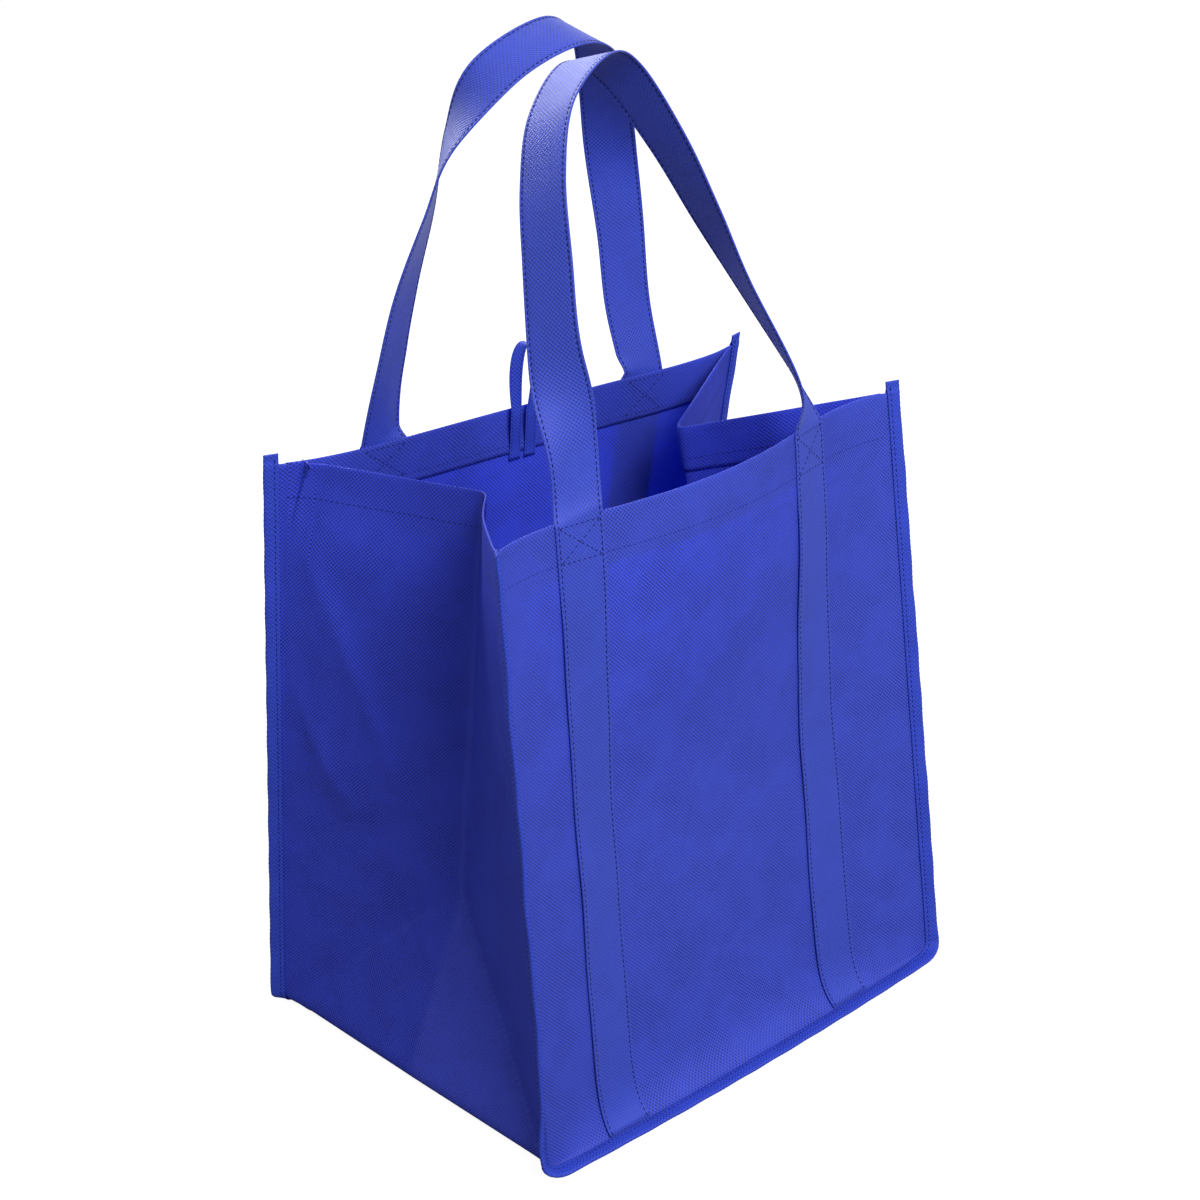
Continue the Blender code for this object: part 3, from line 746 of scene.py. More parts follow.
class MeshMaker:
    """Turns points into pieces of the scene that ride on the bag."""

    @staticmethod
    def item(name: str, points: Array, faces: list) -> bpy.types.Object:
        """Make a smooth-shaded object.

        Args:
            name: Name of the object.
            points: Its points.
            faces: The numbers of each face's points.

        Returns:
            The new object, linked to the scene.
        """
        mesh = bpy.data.meshes.new(name)
        mesh.from_pydata(points.tolist(), [], faces)
        mesh.polygons.foreach_set("use_smooth", [True] * len(mesh.polygons))
        item = bpy.data.objects.new(name, mesh)
        bpy.context.scene.collection.objects.link(item)
        LOG.info("%s: %d faces", name, len(mesh.polygons))
        return item

    @staticmethod
    def grid(
        name: str,
        points: Array,
        flat: Array,
        keep: Array | None = None,
        ring: bool = False,
        wear_and_light: Array | None = None,
    ) -> bpy.types.Object:
        """Make an object from a grid of points.

        Args:
            name: Name of the object.
            points: Grid of points, rows by columns by three.
            flat: Place of each point on the flat cloth, in metres. A ring has one column more.
            keep: Says which squares of the grid stay.
            ring: Joins the last column to the first, and closes both ends.
            wear_and_light: How much a fold has whitened the cloth at each point, together with painted light
                that makes a pressed triangle paler.

        Returns:
            The new object, with its cloth UV map.
        """
        rows, columns = points.shape[:2]
        index = np.arange(rows * columns).reshape(rows, columns)
        flat_index = np.arange(flat.shape[0] * flat.shape[1]).reshape(flat.shape[:2])
        if ring:
            index = np.concatenate([index, index[:, :1]], axis=1)
        squares = [
            np.stack([grid[:-1, :-1], grid[:-1, 1:], grid[1:, 1:], grid[1:, :-1]], -1)
            for grid in (index, flat_index)
        ]
        chosen = np.ones(squares[0].shape[:2], bool) if keep is None else keep
        corners, flats = (square[chosen].reshape(-1, 4) for square in squares)
        used, corners = np.unique(corners, return_inverse=True)
        faces = corners.reshape(-1, 4).tolist()
        uvs = flat.reshape(-1, 2)[flats.ravel()]
        if ring:
            ends = (list(range(columns))[::-1], list(range((rows - 1) * columns, rows * columns)))
            faces += ends
            uvs = np.concatenate([uvs, np.zeros((2 * columns, 2))])
        item = MeshMaker.item(name, points.reshape(-1, 3)[used], faces)
        layer = item.data.uv_layers.new(name=CLOTH_UV)
        layer.data.foreach_set("uv", uvs.ravel().astype(np.float32))
        if wear_and_light is not None:
            attribute = item.data.attributes.new(FOLD_WEAR_AND_PAINTED_LIGHT, "FLOAT", "POINT")
            attribute.data.foreach_set("value", wear_and_light.ravel()[used].astype(np.float32))
        return item

    @staticmethod
    def thicken(item: bpy.types.Object, thickness: float) -> None:
        """Give a sheet its thickness, half of it on each side.

        Args:
            item: The sheet.
            thickness: Its thickness.
        """
        solid = item.modifiers.new("thickness", "SOLIDIFY")
        solid.thickness = thickness
        solid.offset = 0.0
        solid.use_even_offset = True

    @staticmethod
    def dress(
        item: bpy.types.Object, finish: ClothFinish | ThreadFinish, slot: str, nodes: Sequence[str] = ()
    ) -> None:
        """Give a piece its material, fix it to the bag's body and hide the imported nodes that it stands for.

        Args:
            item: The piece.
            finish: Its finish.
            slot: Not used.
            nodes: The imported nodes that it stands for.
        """
        item.data.materials.append(finish.material)
        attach(item, BODY)
        if nodes:
            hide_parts(*nodes)


class NodeGraph:
    """Adds shader nodes to one material or world and joins them."""

    def __init__(self, owner: bpy.types.Material | bpy.types.World) -> None:
        """Start an empty graph.

        Args:
            owner: The material or world.
        """
        owner.use_nodes = True
        self.tree = owner.node_tree
        self.tree.nodes.clear()

    def add(
        self, kind: str, inputs: dict | Sequence = (), output: int | str = 0, **settings: str
    ) -> bpy.types.NodeSocket | None:
        """Add a node.

        Args:
            kind: Kind of node.
            inputs: Values or links of its inputs, in their order or by name or number.
            output: Name or number of the output that is wanted.
            settings: The node's own settings.

        Returns:
            The wanted output, where the node has any.
        """
        node = self.tree.nodes.new(f"ShaderNode{kind}")
        for key, value in settings.items():
            setattr(node, key, value)
        for key, value in inputs.items() if isinstance(inputs, dict) else enumerate(inputs):
            if isinstance(value, bpy.types.NodeSocket):
                self.tree.links.new(value, node.inputs[key])
            else:
                node.inputs[key].default_value = value
        return node.outputs[output] if node.outputs else None


# Non-woven polypropylene: fibres are spun, laid flat and melted together by a hot roller in rows of small
# pits. To the eye it is a soft matt cloth with a fine diagonal grain, cloudy where the fibres lie thicker,
# and light glows through it where it is one layer thick.
@dataclass(frozen=True)
class ClothFinish:
    """Spunbond polypropylene cloth, thermally bonded in diagonal rows of pits.

    Args:
        name: Name of the material.
        colour: Colour of the cloth, sRGB.
        see_through: Share of the light that goes through the cloth instead of back from it.
        pit_depth: Depth of the bonding pits, in millimetres.
        sheen: Weight of the soft light along its edges.
        gloss: Level of its highlights.
        glow: Colour of the light that comes through the cloth, sRGB.
        pit_tone_and_painted_shade: How much darker the pits are painted, partly for the pressed bond points
            and partly as painted shade in their hollows.
        roughness: Roughness between the pits.
    """

    name: str
    colour: str
    see_through: float
    pit_depth: float = 0.24
    sheen: float = 0.0
    gloss: float = 0.16
    glow: str = "#4468f2"
    pit_tone_and_painted_shade: float = 0.68
    roughness: float = 0.66

    # Distances from one row of pits to the next, measured across and along the cloth, in millimetres. They
    # make rows at 45 degrees with 1.7 mm between them one way and 1.9 mm the other way.
    MAIN_ROWS = (2.353, 2.469)
    CROSS_ROWS = (2.667, -2.667)
    # Sizes in the cloth, in millimetres. Real fibres are 0.02 mm thick, too fine to show, so they are drawn
    # as strands of 0.25 mm.
    FIBRE = 0.25
    CLOUD = 9.09
    BLOTCH = 55.6
    UNEVEN_BONDING = 33.3
    # Share of each pattern in the shade and in the height, the latter in millimetres.
    FIBRE_SHADE, CLOUD_SHADE, BLOTCH_SHADE = 0.8, 0.16, 0.08
    FIBRE_HEIGHT, CLOUD_HEIGHT = 0.05, 0.15

    def pits(self, graph: NodeGraph, place: bpy.types.NodeSocket) -> bpy.types.NodeSocket:
        """Pattern of the bonding pits.

        Args:
            graph: The material's nodes.
            place: Place on the flat cloth, in millimetres.

        Returns:
            1 in the pits and 0 between them, weaker where the roller pressed less.
        """
        total = 0.0
        for rows, weight in ((self.MAIN_ROWS, 0.54), (self.CROSS_ROWS, 0.46)):
            turns = [2 * math.pi / distance for distance in rows] + [0.0]
            turn = graph.add("VectorMath", (place, turns), "Value", operation="DOT_PRODUCT")
            wave = graph.add("Math", (turn,), operation="SINE")
            total = graph.add("Math", (wave, weight, total), operation="MULTIPLY_ADD")
        pits = graph.add("MapRange", (total, -0.35, 0.85, 0.0, 1.0), interpolation_type="SMOOTHSTEP")
        pressing = graph.add("TexNoise", {"Vector": place, "Scale": 1 / self.UNEVEN_BONDING, "Detail": 2.0})
        pressed = graph.add("MapRange", (pressing, 0.36, 0.62, 0.7, 1.0), interpolation_type="SMOOTHSTEP")
        return graph.add("Math", (pits, pressed), operation="MULTIPLY")

    @cached_property
    def material(self) -> bpy.types.Material:
        """The Blender material, made once."""
        material = bpy.data.materials.new(self.name)
        graph = NodeGraph(material)
        uv = graph.add("UVMap", uv_map=CLOTH_UV)
        place = graph.add("VectorMath", {0: uv, "Scale": 1 / MM}, operation="SCALE")
        pits = self.pits(graph, place)
        fibre, cloud, blotch = (
            graph.add("TexNoise", {"Vector": place, "Scale": 1 / size, "Detail": detail, "Roughness": rough})
            for size, detail, rough in (
                (self.FIBRE, 3.0, 0.7), (self.CLOUD, 3.0, 0.55), (self.BLOTCH, 2.0, 0.5)
            )
        )

        # The pits are painted darker, partly for the pressed glassy bond points and partly as painted shade
        # in their hollows.
        brightness = graph.add(
            "Math", (pits, -self.pit_tone_and_painted_shade, 1.0 + self.pit_tone_and_painted_shade * 0.36), operation="MULTIPLY_ADD"
        )
        for pattern, weight in (
            (fibre, self.FIBRE_SHADE),
            (cloud, self.CLOUD_SHADE),
            (blotch, self.BLOTCH_SHADE),
        ):
            uneven = graph.add("Math", (pattern, 0.5), operation="SUBTRACT")
            brightness = graph.add("Math", (uneven, weight, brightness), operation="MULTIPLY_ADD")
        base = linear(self.colour)
        plain = graph.add("VectorMath", {0: base, "Scale": brightness}, operation="SCALE")
        # A worn fold is painted paler, and so is the gusset's front triangle, where that is painted light.
        wear_and_light = graph.add("Attribute", output="Fac", attribute_name=FOLD_WEAR_AND_PAINTED_LIGHT)
        worn_and_lit = graph.add("Math", (wear_and_light, 0.45), operation="MULTIPLY")
        paler = shaded(base, 1.35, 0.05)
        colour = graph.add("Mix", {0: worn_and_lit, 6: plain, 7: paler}, 2, data_type="RGBA")

        height = graph.add("Math", (pits, -self.pit_depth), operation="MULTIPLY")
        for pattern, share in ((fibre, self.FIBRE_HEIGHT), (cloud, self.CLOUD_HEIGHT)):
            height = graph.add("Math", (pattern, share, height), operation="MULTIPLY_ADD")
        bump = graph.add("Bump", {"Height": height, "Distance": MM, "Strength": 1.0})
        smoother = self.roughness - 0.2
        roughness = graph.add(
            "MapRange", (pits, 0.0, 1.0, self.roughness, smoother), interpolation_type="SMOOTHSTEP"
        )
        cloth = graph.add(
            "BsdfPrincipled",
            {
                "Base Color": colour,
                "Roughness": roughness,
                "IOR": 1.49,
                "Specular IOR Level": self.gloss,
                "Sheen Weight": self.sheen,
                "Sheen Roughness": 0.4,
                "Sheen Tint": (0.8, 0.84, 1.0, 1.0),
                "Normal": bump,
            },
        )
        glow = graph.add("Math", (pits, -1.2, 1.45), operation="MULTIPLY_ADD")
        glow = graph.add("VectorMath", {0: linear(self.glow), "Scale": glow}, operation="SCALE")
        through = graph.add("BsdfTranslucent", {"Color": glow})
        surface = graph.add("MixShader", (self.see_through, cloth, through))
        graph.add("OutputMaterial", {"Surface": surface})
        return material


# Polyester sewing thread, spun and twisted: a fine matt cord with light and dark turns.
@dataclass(frozen=True)
class ThreadFinish:
    """Twisted polyester sewing thread."""

    name: str
    colour: str

    # Length of one turn of the thread.
    TWIST = 0.3846 * MM

    @cached_property
    def material(self) -> bpy.types.Material:
        """The Blender material, made once."""
        material = bpy.data.materials.new(self.name)
        graph = NodeGraph(material)
        place = graph.add("TexCoord", output="Object")
        twist = graph.add("TexNoise", {"Vector": place, "Scale": 1 / self.TWIST, "Detail": 1.0})
        base = linear(self.colour)
        shades = {0: twist, 6: shaded(base, 0.6), 7: shaded(base, 1.4)}
        colour = graph.add("Mix", shades, 2, data_type="RGBA")
        bump = graph.add("Bump", {"Height": twist, "Distance": 0.1 * MM, "Strength": 0.6})
        inputs = {"Base Color": colour, "Roughness": 0.6, "Specular IOR Level": 0.15, "Normal": bump}
        graph.add("OutputMaterial", {"Surface": graph.add("BsdfPrincipled", inputs)})
        return material


# Polyethylene sheet, extruded: a waxy, half matt plastic with faint flow lines along it and dull scuffs.
@dataclass(frozen=True)
class BoardFinish:
    """Extruded polyethylene insert board."""

    name: str = "extruded polyethylene board"
    colour: str = "#23306f"

    # Length and width of the flow lines, and size of the scuffs.
    LINE_LENGTH, LINE_WIDTH = 41.67 * MM, 1.136 * MM
    SCUFF = 11.11 * MM

    @cached_property
    def material(self) -> bpy.types.Material:
        """The Blender material, made once."""
        material = bpy.data.materials.new(self.name)
        graph = NodeGraph(material)
        place = graph.add("TexCoord", output="Object")
        stretch = (1 / self.LINE_LENGTH, 1 / self.LINE_WIDTH, 1 / self.LINE_WIDTH)
        stretched = graph.add("Mapping", {"Vector": place, "Scale": stretch})
        lines = graph.add("TexNoise", {"Vector": stretched, "Scale": 1.0, "Detail": 3.0})
        rubbed = {"Vector": place, "Scale": 1 / self.SCUFF, "Detail": 6.0, "Roughness": 0.7}
        scuffs = graph.add("TexNoise", rubbed)
        scuffs = graph.add("MapRange", (scuffs, 0.56, 0.72, 0.0, 1.0), interpolation_type="SMOOTHSTEP")
        base = linear(self.colour)
        shades = {0: lines, 6: shaded(base, 0.82), 7: shaded(base, 1.2)}
        colour = graph.add("Mix", shades, 2, data_type="RGBA")
        height = graph.add("Math", (scuffs, -0.4, lines), operation="MULTIPLY_ADD")
        bump = graph.add("Bump", {"Height": height, "Distance": 0.05 * MM, "Strength": 0.5})
        dull = graph.add("MapRange", (scuffs, 0.0, 1.0, 0.38, 0.6), interpolation_type="SMOOTHSTEP")
        inputs = {"Base Color": colour, "Roughness": dull, "IOR": 1.51, "Normal": bump}
        graph.add("OutputMaterial", {"Surface": graph.add("BsdfPrincipled", inputs)})
        return material


@dataclass(frozen=True)
class Stitching:
    """Lockstitch: short stitches of thread that lie on the cloth and dip into it at their ends.

    Args:
        finish: Finish of the thread.
        length: Length of a stitch.
        radius: Radius of the thread.
        pitch: Distance from one stitch to the next.
    """

    finish: ThreadFinish
    length: float = 0.0027
    radius: float = 0.00032
    pitch: float = 0.0034

    # Rings of a stitch: share of its length, share of its radius, share of its lift.
    RINGS = ((-0.5, 0.45, -1.0), (-0.28, 1.0, 0.25), (0.28, 1.0, 0.25), (0.5, 0.45, -1.0))
    SIDES = 4

    @staticmethod
    def between(spots: Array, lengths: Array, values: Array) -> Array:
        """Values at spots along a line, from its values at some lengths."""
        return np.stack([np.interp(spots, lengths, values[:, axis]) for axis in range(3)], -1)

    def along(self, path: Array, normals: Array) -> Array:
        """Points of the stitches along one line.

        Args:
            path: Points of the line on the cloth.
            normals: Directions out of the cloth at these points.

        Returns:
            An array of stitches, each with its rings of points.
        """
        lengths = run_lengths(path)
        count = max(1, int(lengths[-1] / self.pitch))
        middles = (np.arange(count) + 0.5) * lengths[-1] / count
        half = self.length / 2
        centre, before, after = (
            self.between(middles + shift, lengths, path) for shift in (0.0, -half, half)
        )
        forward = unit(after - before)
        side = unit(np.cross(self.between(middles, lengths, normals), forward))
        up = np.cross(forward, side)
        turns = np.arange(self.SIDES) * 2 * math.pi / self.SIDES
        outward = [side * math.cos(turn) + up * math.sin(turn) for turn in turns]
        rings = []
        for share, width, lift in self.RINGS:
            middle = centre + forward * (share * self.length) + up * (lift * self.radius)
            rings.append(np.stack([middle + way * (self.radius * width) for way in outward], 1))
        return np.stack(rings, 1)

    def make(self, name: str, lines: Iterable[Line], slot: str) -> None:
        """Make one object of all the stitches along some lines.

        Args:
            name: Name of the object.
            lines: Points of each line, and directions out of the cloth there.
            slot: Name of its material slot.
        """
        stitches = np.concatenate([self.along(path, normals) for path, normals in lines])
        count, rings, sides = stitches.shape[:3]
        faces = []
        for ring in range(rings - 1):
            low, high = ring * sides, (ring + 1) * sides
            for side in range(sides):
                other = (side + 1) % sides
                faces.append((low + side, low + other, high + other, high + side))
        last = (rings - 1) * sides
        faces += [tuple(reversed(range(sides))), tuple(range(last, last + sides))]
        starts = np.arange(count)[:, None, None] * rings * sides
        corners = (np.array(faces) + starts).reshape(-1, sides)
        item = MeshMaker.item(name, stitches.reshape(-1, 3), corners.tolist())
        MeshMaker.dress(item, self.finish, slot)


@dataclass(frozen=True)
class Hem:
    """Edge of a cloth folded inwards over the rim.

    Args:
        depth: How far the inner layer reaches down.
        spacing: Distance between the middles of the two layers.
        stitched: Depth of a panel's line of stitches.
        slant: How much deeper that line lies at the right side than in the middle.
        margin: How far the inner layer stays from the side seams.
        turns: Number of rows round the fold.
    """

    depth: float = 0.030
    spacing: float = 0.0007
    stitched: float = 0.0245
    slant: float = 0.0025
    margin: float = 0.004
    turns: int = 4

    @property
    def over(self) -> Array:
        """Distances of the fold's rows from the rim, along the cloth."""
        return np.linspace(0, math.pi * self.spacing / 2, self.turns + 2)[1:-1]

    def rows(self, outer: Array, inward: Array) -> Array:
        """Rows of the fold and the inner layer.

        Args:
            outer: Rows of the outer layer, from the rim downwards.
            inward: Directions into the bag at these points.

        Returns:
            Rows from the rim round the fold and down the inner layer.
        """
        radius = self.spacing / 2
        upward = unit(outer[0] - outer[1])
        folded = []
        for turn in np.arange(1, self.turns + 1) * math.pi / (self.turns + 1):
            inside = inward[0] * radius * (1 - math.cos(turn))
            folded.append(outer[0] + inside + upward * radius * math.sin(turn))
        return np.concatenate([np.stack(folded), outer + inward * self.spacing])


@dataclass
class PanelSheet:
    """Front or back panel: one cloth with its seam edges in the flange and a hem at the rim."""

    form: BagForm
    face: Face
    hem: Hem
    finish: ClothFinish
    waves: Waves
    step: float = 0.003
    calm_edge: float = 0.05
    calm_rim: float = 0.09
    rim_waves: float = 0.35
    stitch_margin: float = 0.003

    def point(self, along: Places, height: Places) -> Array:
        """Points of the panel with its soft waves.

        Args:
            along: Distances from its middle to the right.
            height: Heights along the cloth.

        Returns:
            Points in the middle of the cloth.
        """
        form = self.form
        along, height = np.broadcast_arrays(np.asarray(along, float), np.asarray(height, float))
        points = form.panel(self.face, along, height)
        clear = np.minimum(form.half_width - np.abs(along), height) / self.calm_edge
        calm = self.rim_waves + (1 - self.rim_waves) * smooth((form.height - height) / self.calm_rim)
        points[..., 1] += self.waves.at(along, height) * smooth(clear) * calm
        return points

    def inward(self, along: Places, height: Places) -> Array:
        """Directions into the bag.

        Args:
            along: Distances from the panel's middle to the right.
            height: Heights along the cloth.

        Returns:
            A direction for each place.
        """
        probe = self.form.probe
        along, height = np.broadcast_arrays(np.asarray(along, float), np.asarray(height, float))
        height = np.clip(height, probe, self.form.height - probe)
        sideways = self.point(along + probe, height) - self.point(along - probe, height)
        upward = self.point(along, height + probe) - self.point(along, height - probe)
        return unit(np.cross(sideways, upward) * self.face)

    def layer(self, along: Places, height: Places, lift: Places) -> Array:
        """Points on one side of the panel: a lift over nought is inside the bag."""
        return self.point(along, height) + self.inward(along, height) * np.asarray(lift)[..., None]

    def build(self) -> None:
        """Make the panel's cloth."""
        form, hem, name = self.form, self.hem, f"{self.face.name.lower()}_panel"
        half = form.half_width
        flange = steps(0, form.flange, self.step)[1:]
        along = np.concatenate([-half - flange[::-1], steps(-half, half, self.step), half + flange])
        below = steps(0, form.height - hem.depth, self.step)
        above = steps(form.height - hem.depth, form.height, self.step)
        heights = np.concatenate([-flange[::-1], below, above[1:]])
        outer = self.point(along[None], heights[:, None])
        inward = self.inward(along[None], above[::-1][:, None])
        points = np.concatenate([outer, hem.rows(outer[-len(above) :][::-1], inward)])
        down = hem.over[-1] + form.height - above[::-1]
        spots = np.concatenate([heights, form.height + hem.over, form.height + down])
        keep = np.ones((len(spots) - 1, len(along) - 1), bool)
        middle = (along[:-1] + along[1:]) / 2
        keep[len(heights) - 1 :, np.abs(middle) > half - hem.margin] = False
        item = MeshMaker.grid(f"{name}_cloth", points, flat_grid(along, spots), keep)
        MeshMaker.thicken(item, form.cloth)
        MeshMaker.dress(item, self.finish, "panel_cloth", [name])

    def stitch_depth(self, along: Places) -> Places:
        """Depth of the hem's stitches below the rim, a little more towards the right side."""
        return self.hem.stitched + self.hem.slant * along / self.form.half_width

    def hem_stitches(self) -> list[Line]:
        """Lines of the hem's stitches.

        Returns:
            The outside line and the inside line.
        """
        form, hem = self.form, self.hem
        reach = form.half_width - self.stitch_margin
        along = steps(-reach, reach, self.step)
        height = form.height - self.stitch_depth(along)
        inward = self.inward(along, height)
        inner = hem.spacing + form.cloth / 2
        outside = (self.layer(along, height, -form.cloth / 2), -inward)
        return [outside, (self.layer(along, height, inner), inward)]


@dataclass(frozen=True)
class Wrinkle:
    """One long wrinkle that pulls across a gusset: a ridge with a steep and a gentle flank.

    Args:
        start: Run and place across the strip where it starts.
        end: The same where it ends.
        width: Distance in which its steep flank falls.
        height: Height of the ridge, outwards.
    """

    start: tuple[float, float]
    end: tuple[float, float]
    width: float
    height: float

    # How many times wider the gentle flank is, and how rounded the top.
    GENTLE = 1.7
    ROUNDING = 0.002

    def lift(self, run: Array, across: Array) -> Array:
        """Height of the wrinkle.

        Args:
            run: Runs along the seam path.
            across: Distances over the strip.

        Returns:
            Heights at these places.
        """
        start, end = np.array(self.start), np.array(self.end)
        length = np.linalg.norm(end - start)
        way = (end - start) / length
        along = (run - start[0]) * way[0] + (across - start[1]) * way[1]
        off = (run - start[0]) * way[1] - (across - start[1]) * way[0]
        ends = np.sin(math.pi * np.clip(along / length, 0, 1)) ** 0.5
        flank = np.where(off < 0, self.GENTLE * self.width, self.width)
        fall = (np.hypot(off, self.ROUNDING) - self.ROUNDING) / flank
        return self.height * ends * np.exp(-fall)


@dataclass(frozen=True)
class SmallPleat:
    """Small pleat beside the left gusset's back seam: a soft back, a steep front and a hollow before it.

    Args:
        slant: How far it drifts to the back for each metre down.
        ridge: Height of the ridge.
        steepness: Distance in which its front falls.
        back: Distance in which its back rises.
        hollow: Depth of the hollow.
        hollow_place: Distance of the hollow from the ridge.
        hollow_width: Half width of the hollow.
        fall: How far down from the rim the pleat fades out.
    """

    slant: float = 0.16
    ridge: float = 0.0026
    steepness: float = 0.0002
    back: float = 0.007
    hollow: float = 0.0016
    hollow_place: float = 0.0014
    hollow_width: float = 0.0011
    fall: float = 0.045

    def lift(self, run: Array, past: Array) -> Array:
        """Height of the pleat.

        Args:
            run: Distances down from the rim.
            past: Distances behind the pleat's place at the rim.

        Returns:
            Heights at these places.
        """
        off = past - self.slant * run
        steep = 1 / (1 + np.exp(np.clip(off / self.steepness, -30, 30)))
        ridge = self.ridge * steep * bell(np.minimum(off, 0), self.back)
        hollow = self.hollow * bell(off - self.hollow_place, self.hollow_width)
        return (ridge - hollow) * smooth((self.fall - run) / self.fall)


@dataclass
class GussetSheet:
    """Left gusset, base and right gusset in one strip, hemmed at both ends.

    Args:
        fine_before: How far in front of the pleat these columns start.
        fine_after: How far behind it they end.
        held_edge: How far inside the seams the cloth keeps its place meanwhile.
        held_below: How far below the pleat the fine columns do so too.
        calm_base: Height over which the cloth keeps off the base.
        base_ease: Height in which the waves grow above that.
        rim_waves: Share of the waves that is left at the rim.
        stitched: Depth of the hems' stitches.
        stitch_margin: How far these stitches stay from the seams.
        crease_wear: Half width of the whitened line down the middle crease, then its strength.
        corner_wear: Half width of the whitened lines to the bottom corners, then their strengths in the
            front and the back half.
        triangle_painted_light: Distance in which the pressed front triangle between them is painted paler,
            then its strength. This is painted light where the triangle faces up, with a little wear of its
            pits.
    """

    form: BagForm
    hem: Hem
    finish: ClothFinish
    waves: Waves
    step: float = 0.003
    fine_step: float = 0.0005
    fine_before: float = 0.006
    fine_after: float = 0.008
    softening: int = 5
    held_edge: float = 0.0035
    held_below: float = 0.01
    calm_edge: float = 0.03
    calm_base: float = 0.012
    base_ease: float = 0.05
    calm_rim: float = 0.06
    rim_waves: float = 0.4
    stitched: float = 0.021
    stitch_margin: float = 0.002
    crease_wear: tuple[float, float] = (0.0014, 0.7)
    corner_wear: tuple[float, float, float] = (0.0018, 1.0, 0.15)
    triangle_painted_light: tuple[float, float] = (0.005, 0.6)

    PLEAT = SmallPleat()
    WRINKLES = (
        Wrinkle((0.046, 0.116), (0.215, 0.036), 0.010, 0.0042),
        Wrinkle((0.142, 0.124), (0.225, 0.074), 0.009, 0.0038),
        Wrinkle((0.135, -0.100), (0.235, -0.035), 0.009, -0.0018),
        Wrinkle((0.960, 0.095), (0.860, 0.015), 0.010, 0.0024),
    )

    @property
    def pleat_place(self) -> float:
        """Place of the pleat across the strip."""
        return self.form.half_depth - self.form.pleat_run

    @cached_property
    def across(self) -> Array:
        """Places over the strip's width, flange edges included.

        Returns:
            Places from the front to the back.
        """
        half, flange = self.form.half_depth, steps(0, self.form.flange, self.step)[1:]
        first, last = self.pleat_place - self.fine_before, self.pleat_place + self.fine_after
        inside = [steps(-half, first, self.step), steps(first, last, self.fine_step)[1:-1]]
        inside.append(steps(last, half, self.step))
        return np.concatenate([-half - flange[::-1], *inside, half + flange])

    @cached_property
    def runs(self) -> Array:
        """Places along the strip."""
        return steps(0, self.form.path_length, self.step)

    @cached_property
    def plain_points(self) -> Array:
        """Grid of the strip's points with softened creases."""
        form = self.form
        run, across = self.runs[:, None], self.across[None]
        on_seam = np.abs(across) > form.half_depth - self.held_edge
        fine_middle = self.pleat_place + (self.fine_after - self.fine_before) / 2
        fine_half = (self.fine_after + self.fine_before) / 2 + self.fine_step
        fine = np.abs(across - fine_middle) < fine_half
        below_pleat = fine & (run > form.pleat_height + self.held_below)
        return relax(form.gusset_strip(run, across), self.softening, on_seam | below_pleat)

    @cached_property
    def inside(self) -> float:
        """Sign that turns the grid's normals into the bag."""
        middle = len(self.runs) // 2, len(self.across) // 2
        towards = np.array((0, 0, self.form.half_depth)) - self.plain_points[middle]
        return float(np.sign(towards @ grid_normals(self.plain_points)[middle]))

    @cached_property
    def points(self) -> Array:
        """Grid of the strip's points, with its pleat, wrinkles and soft waves."""
        form = self.form
        run, across = self.runs[:, None], self.across[None]
        height = np.minimum(run, form.path_length - run)
        clear = smooth((form.half_depth - np.abs(across)) / self.calm_edge)
        clear = clear * smooth((form.height - self.calm_base - height) / self.base_ease)
        clear = clear * (self.rim_waves + (1 - self.rim_waves) * smooth(height / self.calm_rim))
        wrinkles = sum(wrinkle.lift(run, across) for wrinkle in self.WRINKLES)
        lift = (self.waves.at(across, run) - self.inside * wrinkles) * clear
        lift = lift - self.inside * self.PLEAT.lift(run, across - self.pleat_place)
        return self.plain_points + grid_normals(self.plain_points) * lift[..., None]

    def wear_and_light(self) -> Array:
        """How much the folds have whitened the cloth, down the middle crease and the two below it, and the
        painted light that pales the front triangle between these two.

        Returns:
            Wear and painted light from 0 to 1 at each point of the grid.
        """
        form = self.form
        height = np.maximum(form.height - self.runs, self.runs - form.height - form.width)[:, None]
        across, in_front = np.abs(self.across)[None], self.across[None] < 0
        low = (height > 0) & (height < form.half_depth)
        line, strength = self.crease_wear
        middle = strength * bell(across, line) * (height > 0)
        line, front, back = self.corner_wear
        lower = bell(across + height - form.half_depth, line) * low * np.where(in_front, front, back)
        # Painted light: the front triangle below the apex faces up a little and is painted paler as though
        # lit more, with a little wear of its pits.
        edge, strength = self.triangle_painted_light
        triangle = smooth((form.half_depth - height - across) / edge) * low * (self.across[None] <= 0)
        return np.maximum(np.maximum(middle, lower), strength * triangle)

    def build(self) -> None:
        """Make the strip's cloth."""
        form, hem, outer, wear_and_light = self.form, self.hem, self.points, self.wear_and_light()
        normals = grid_normals(outer, self.inside)
        count = int(round(hem.depth / self.step)) + 1
        left = hem.rows(outer[:count], normals[:count])[::-1]
        right = hem.rows(outer[::-1][:count], normals[::-1][:count])
        down = np.concatenate([hem.over, hem.over[-1] + np.arange(count) * self.step])
        spots = np.concatenate([-down[::-1], self.runs, form.path_length + down])
        extra = len(left)
        keep = np.ones((len(spots) - 1, len(self.across) - 1), bool)
        middle = (self.across[:-1] + self.across[1:]) / 2
        beyond = np.abs(middle) > form.half_depth - hem.margin
        keep[:extra, beyond] = False
        keep[len(spots) - 1 - extra :, beyond] = False
        points = np.concatenate([left, outer, right])
        unworn = np.zeros((extra, len(self.across)))
        wear_and_light = np.concatenate([unworn, wear_and_light, unworn])
        item = MeshMaker.grid("gusset_strip_cloth", points, flat_grid(-self.across, spots), keep, wear_and_light=wear_and_light)
        MeshMaker.thicken(item, form.cloth)
        MeshMaker.dress(item, self.finish, "gusset_cloth", ["gusset_strip"])

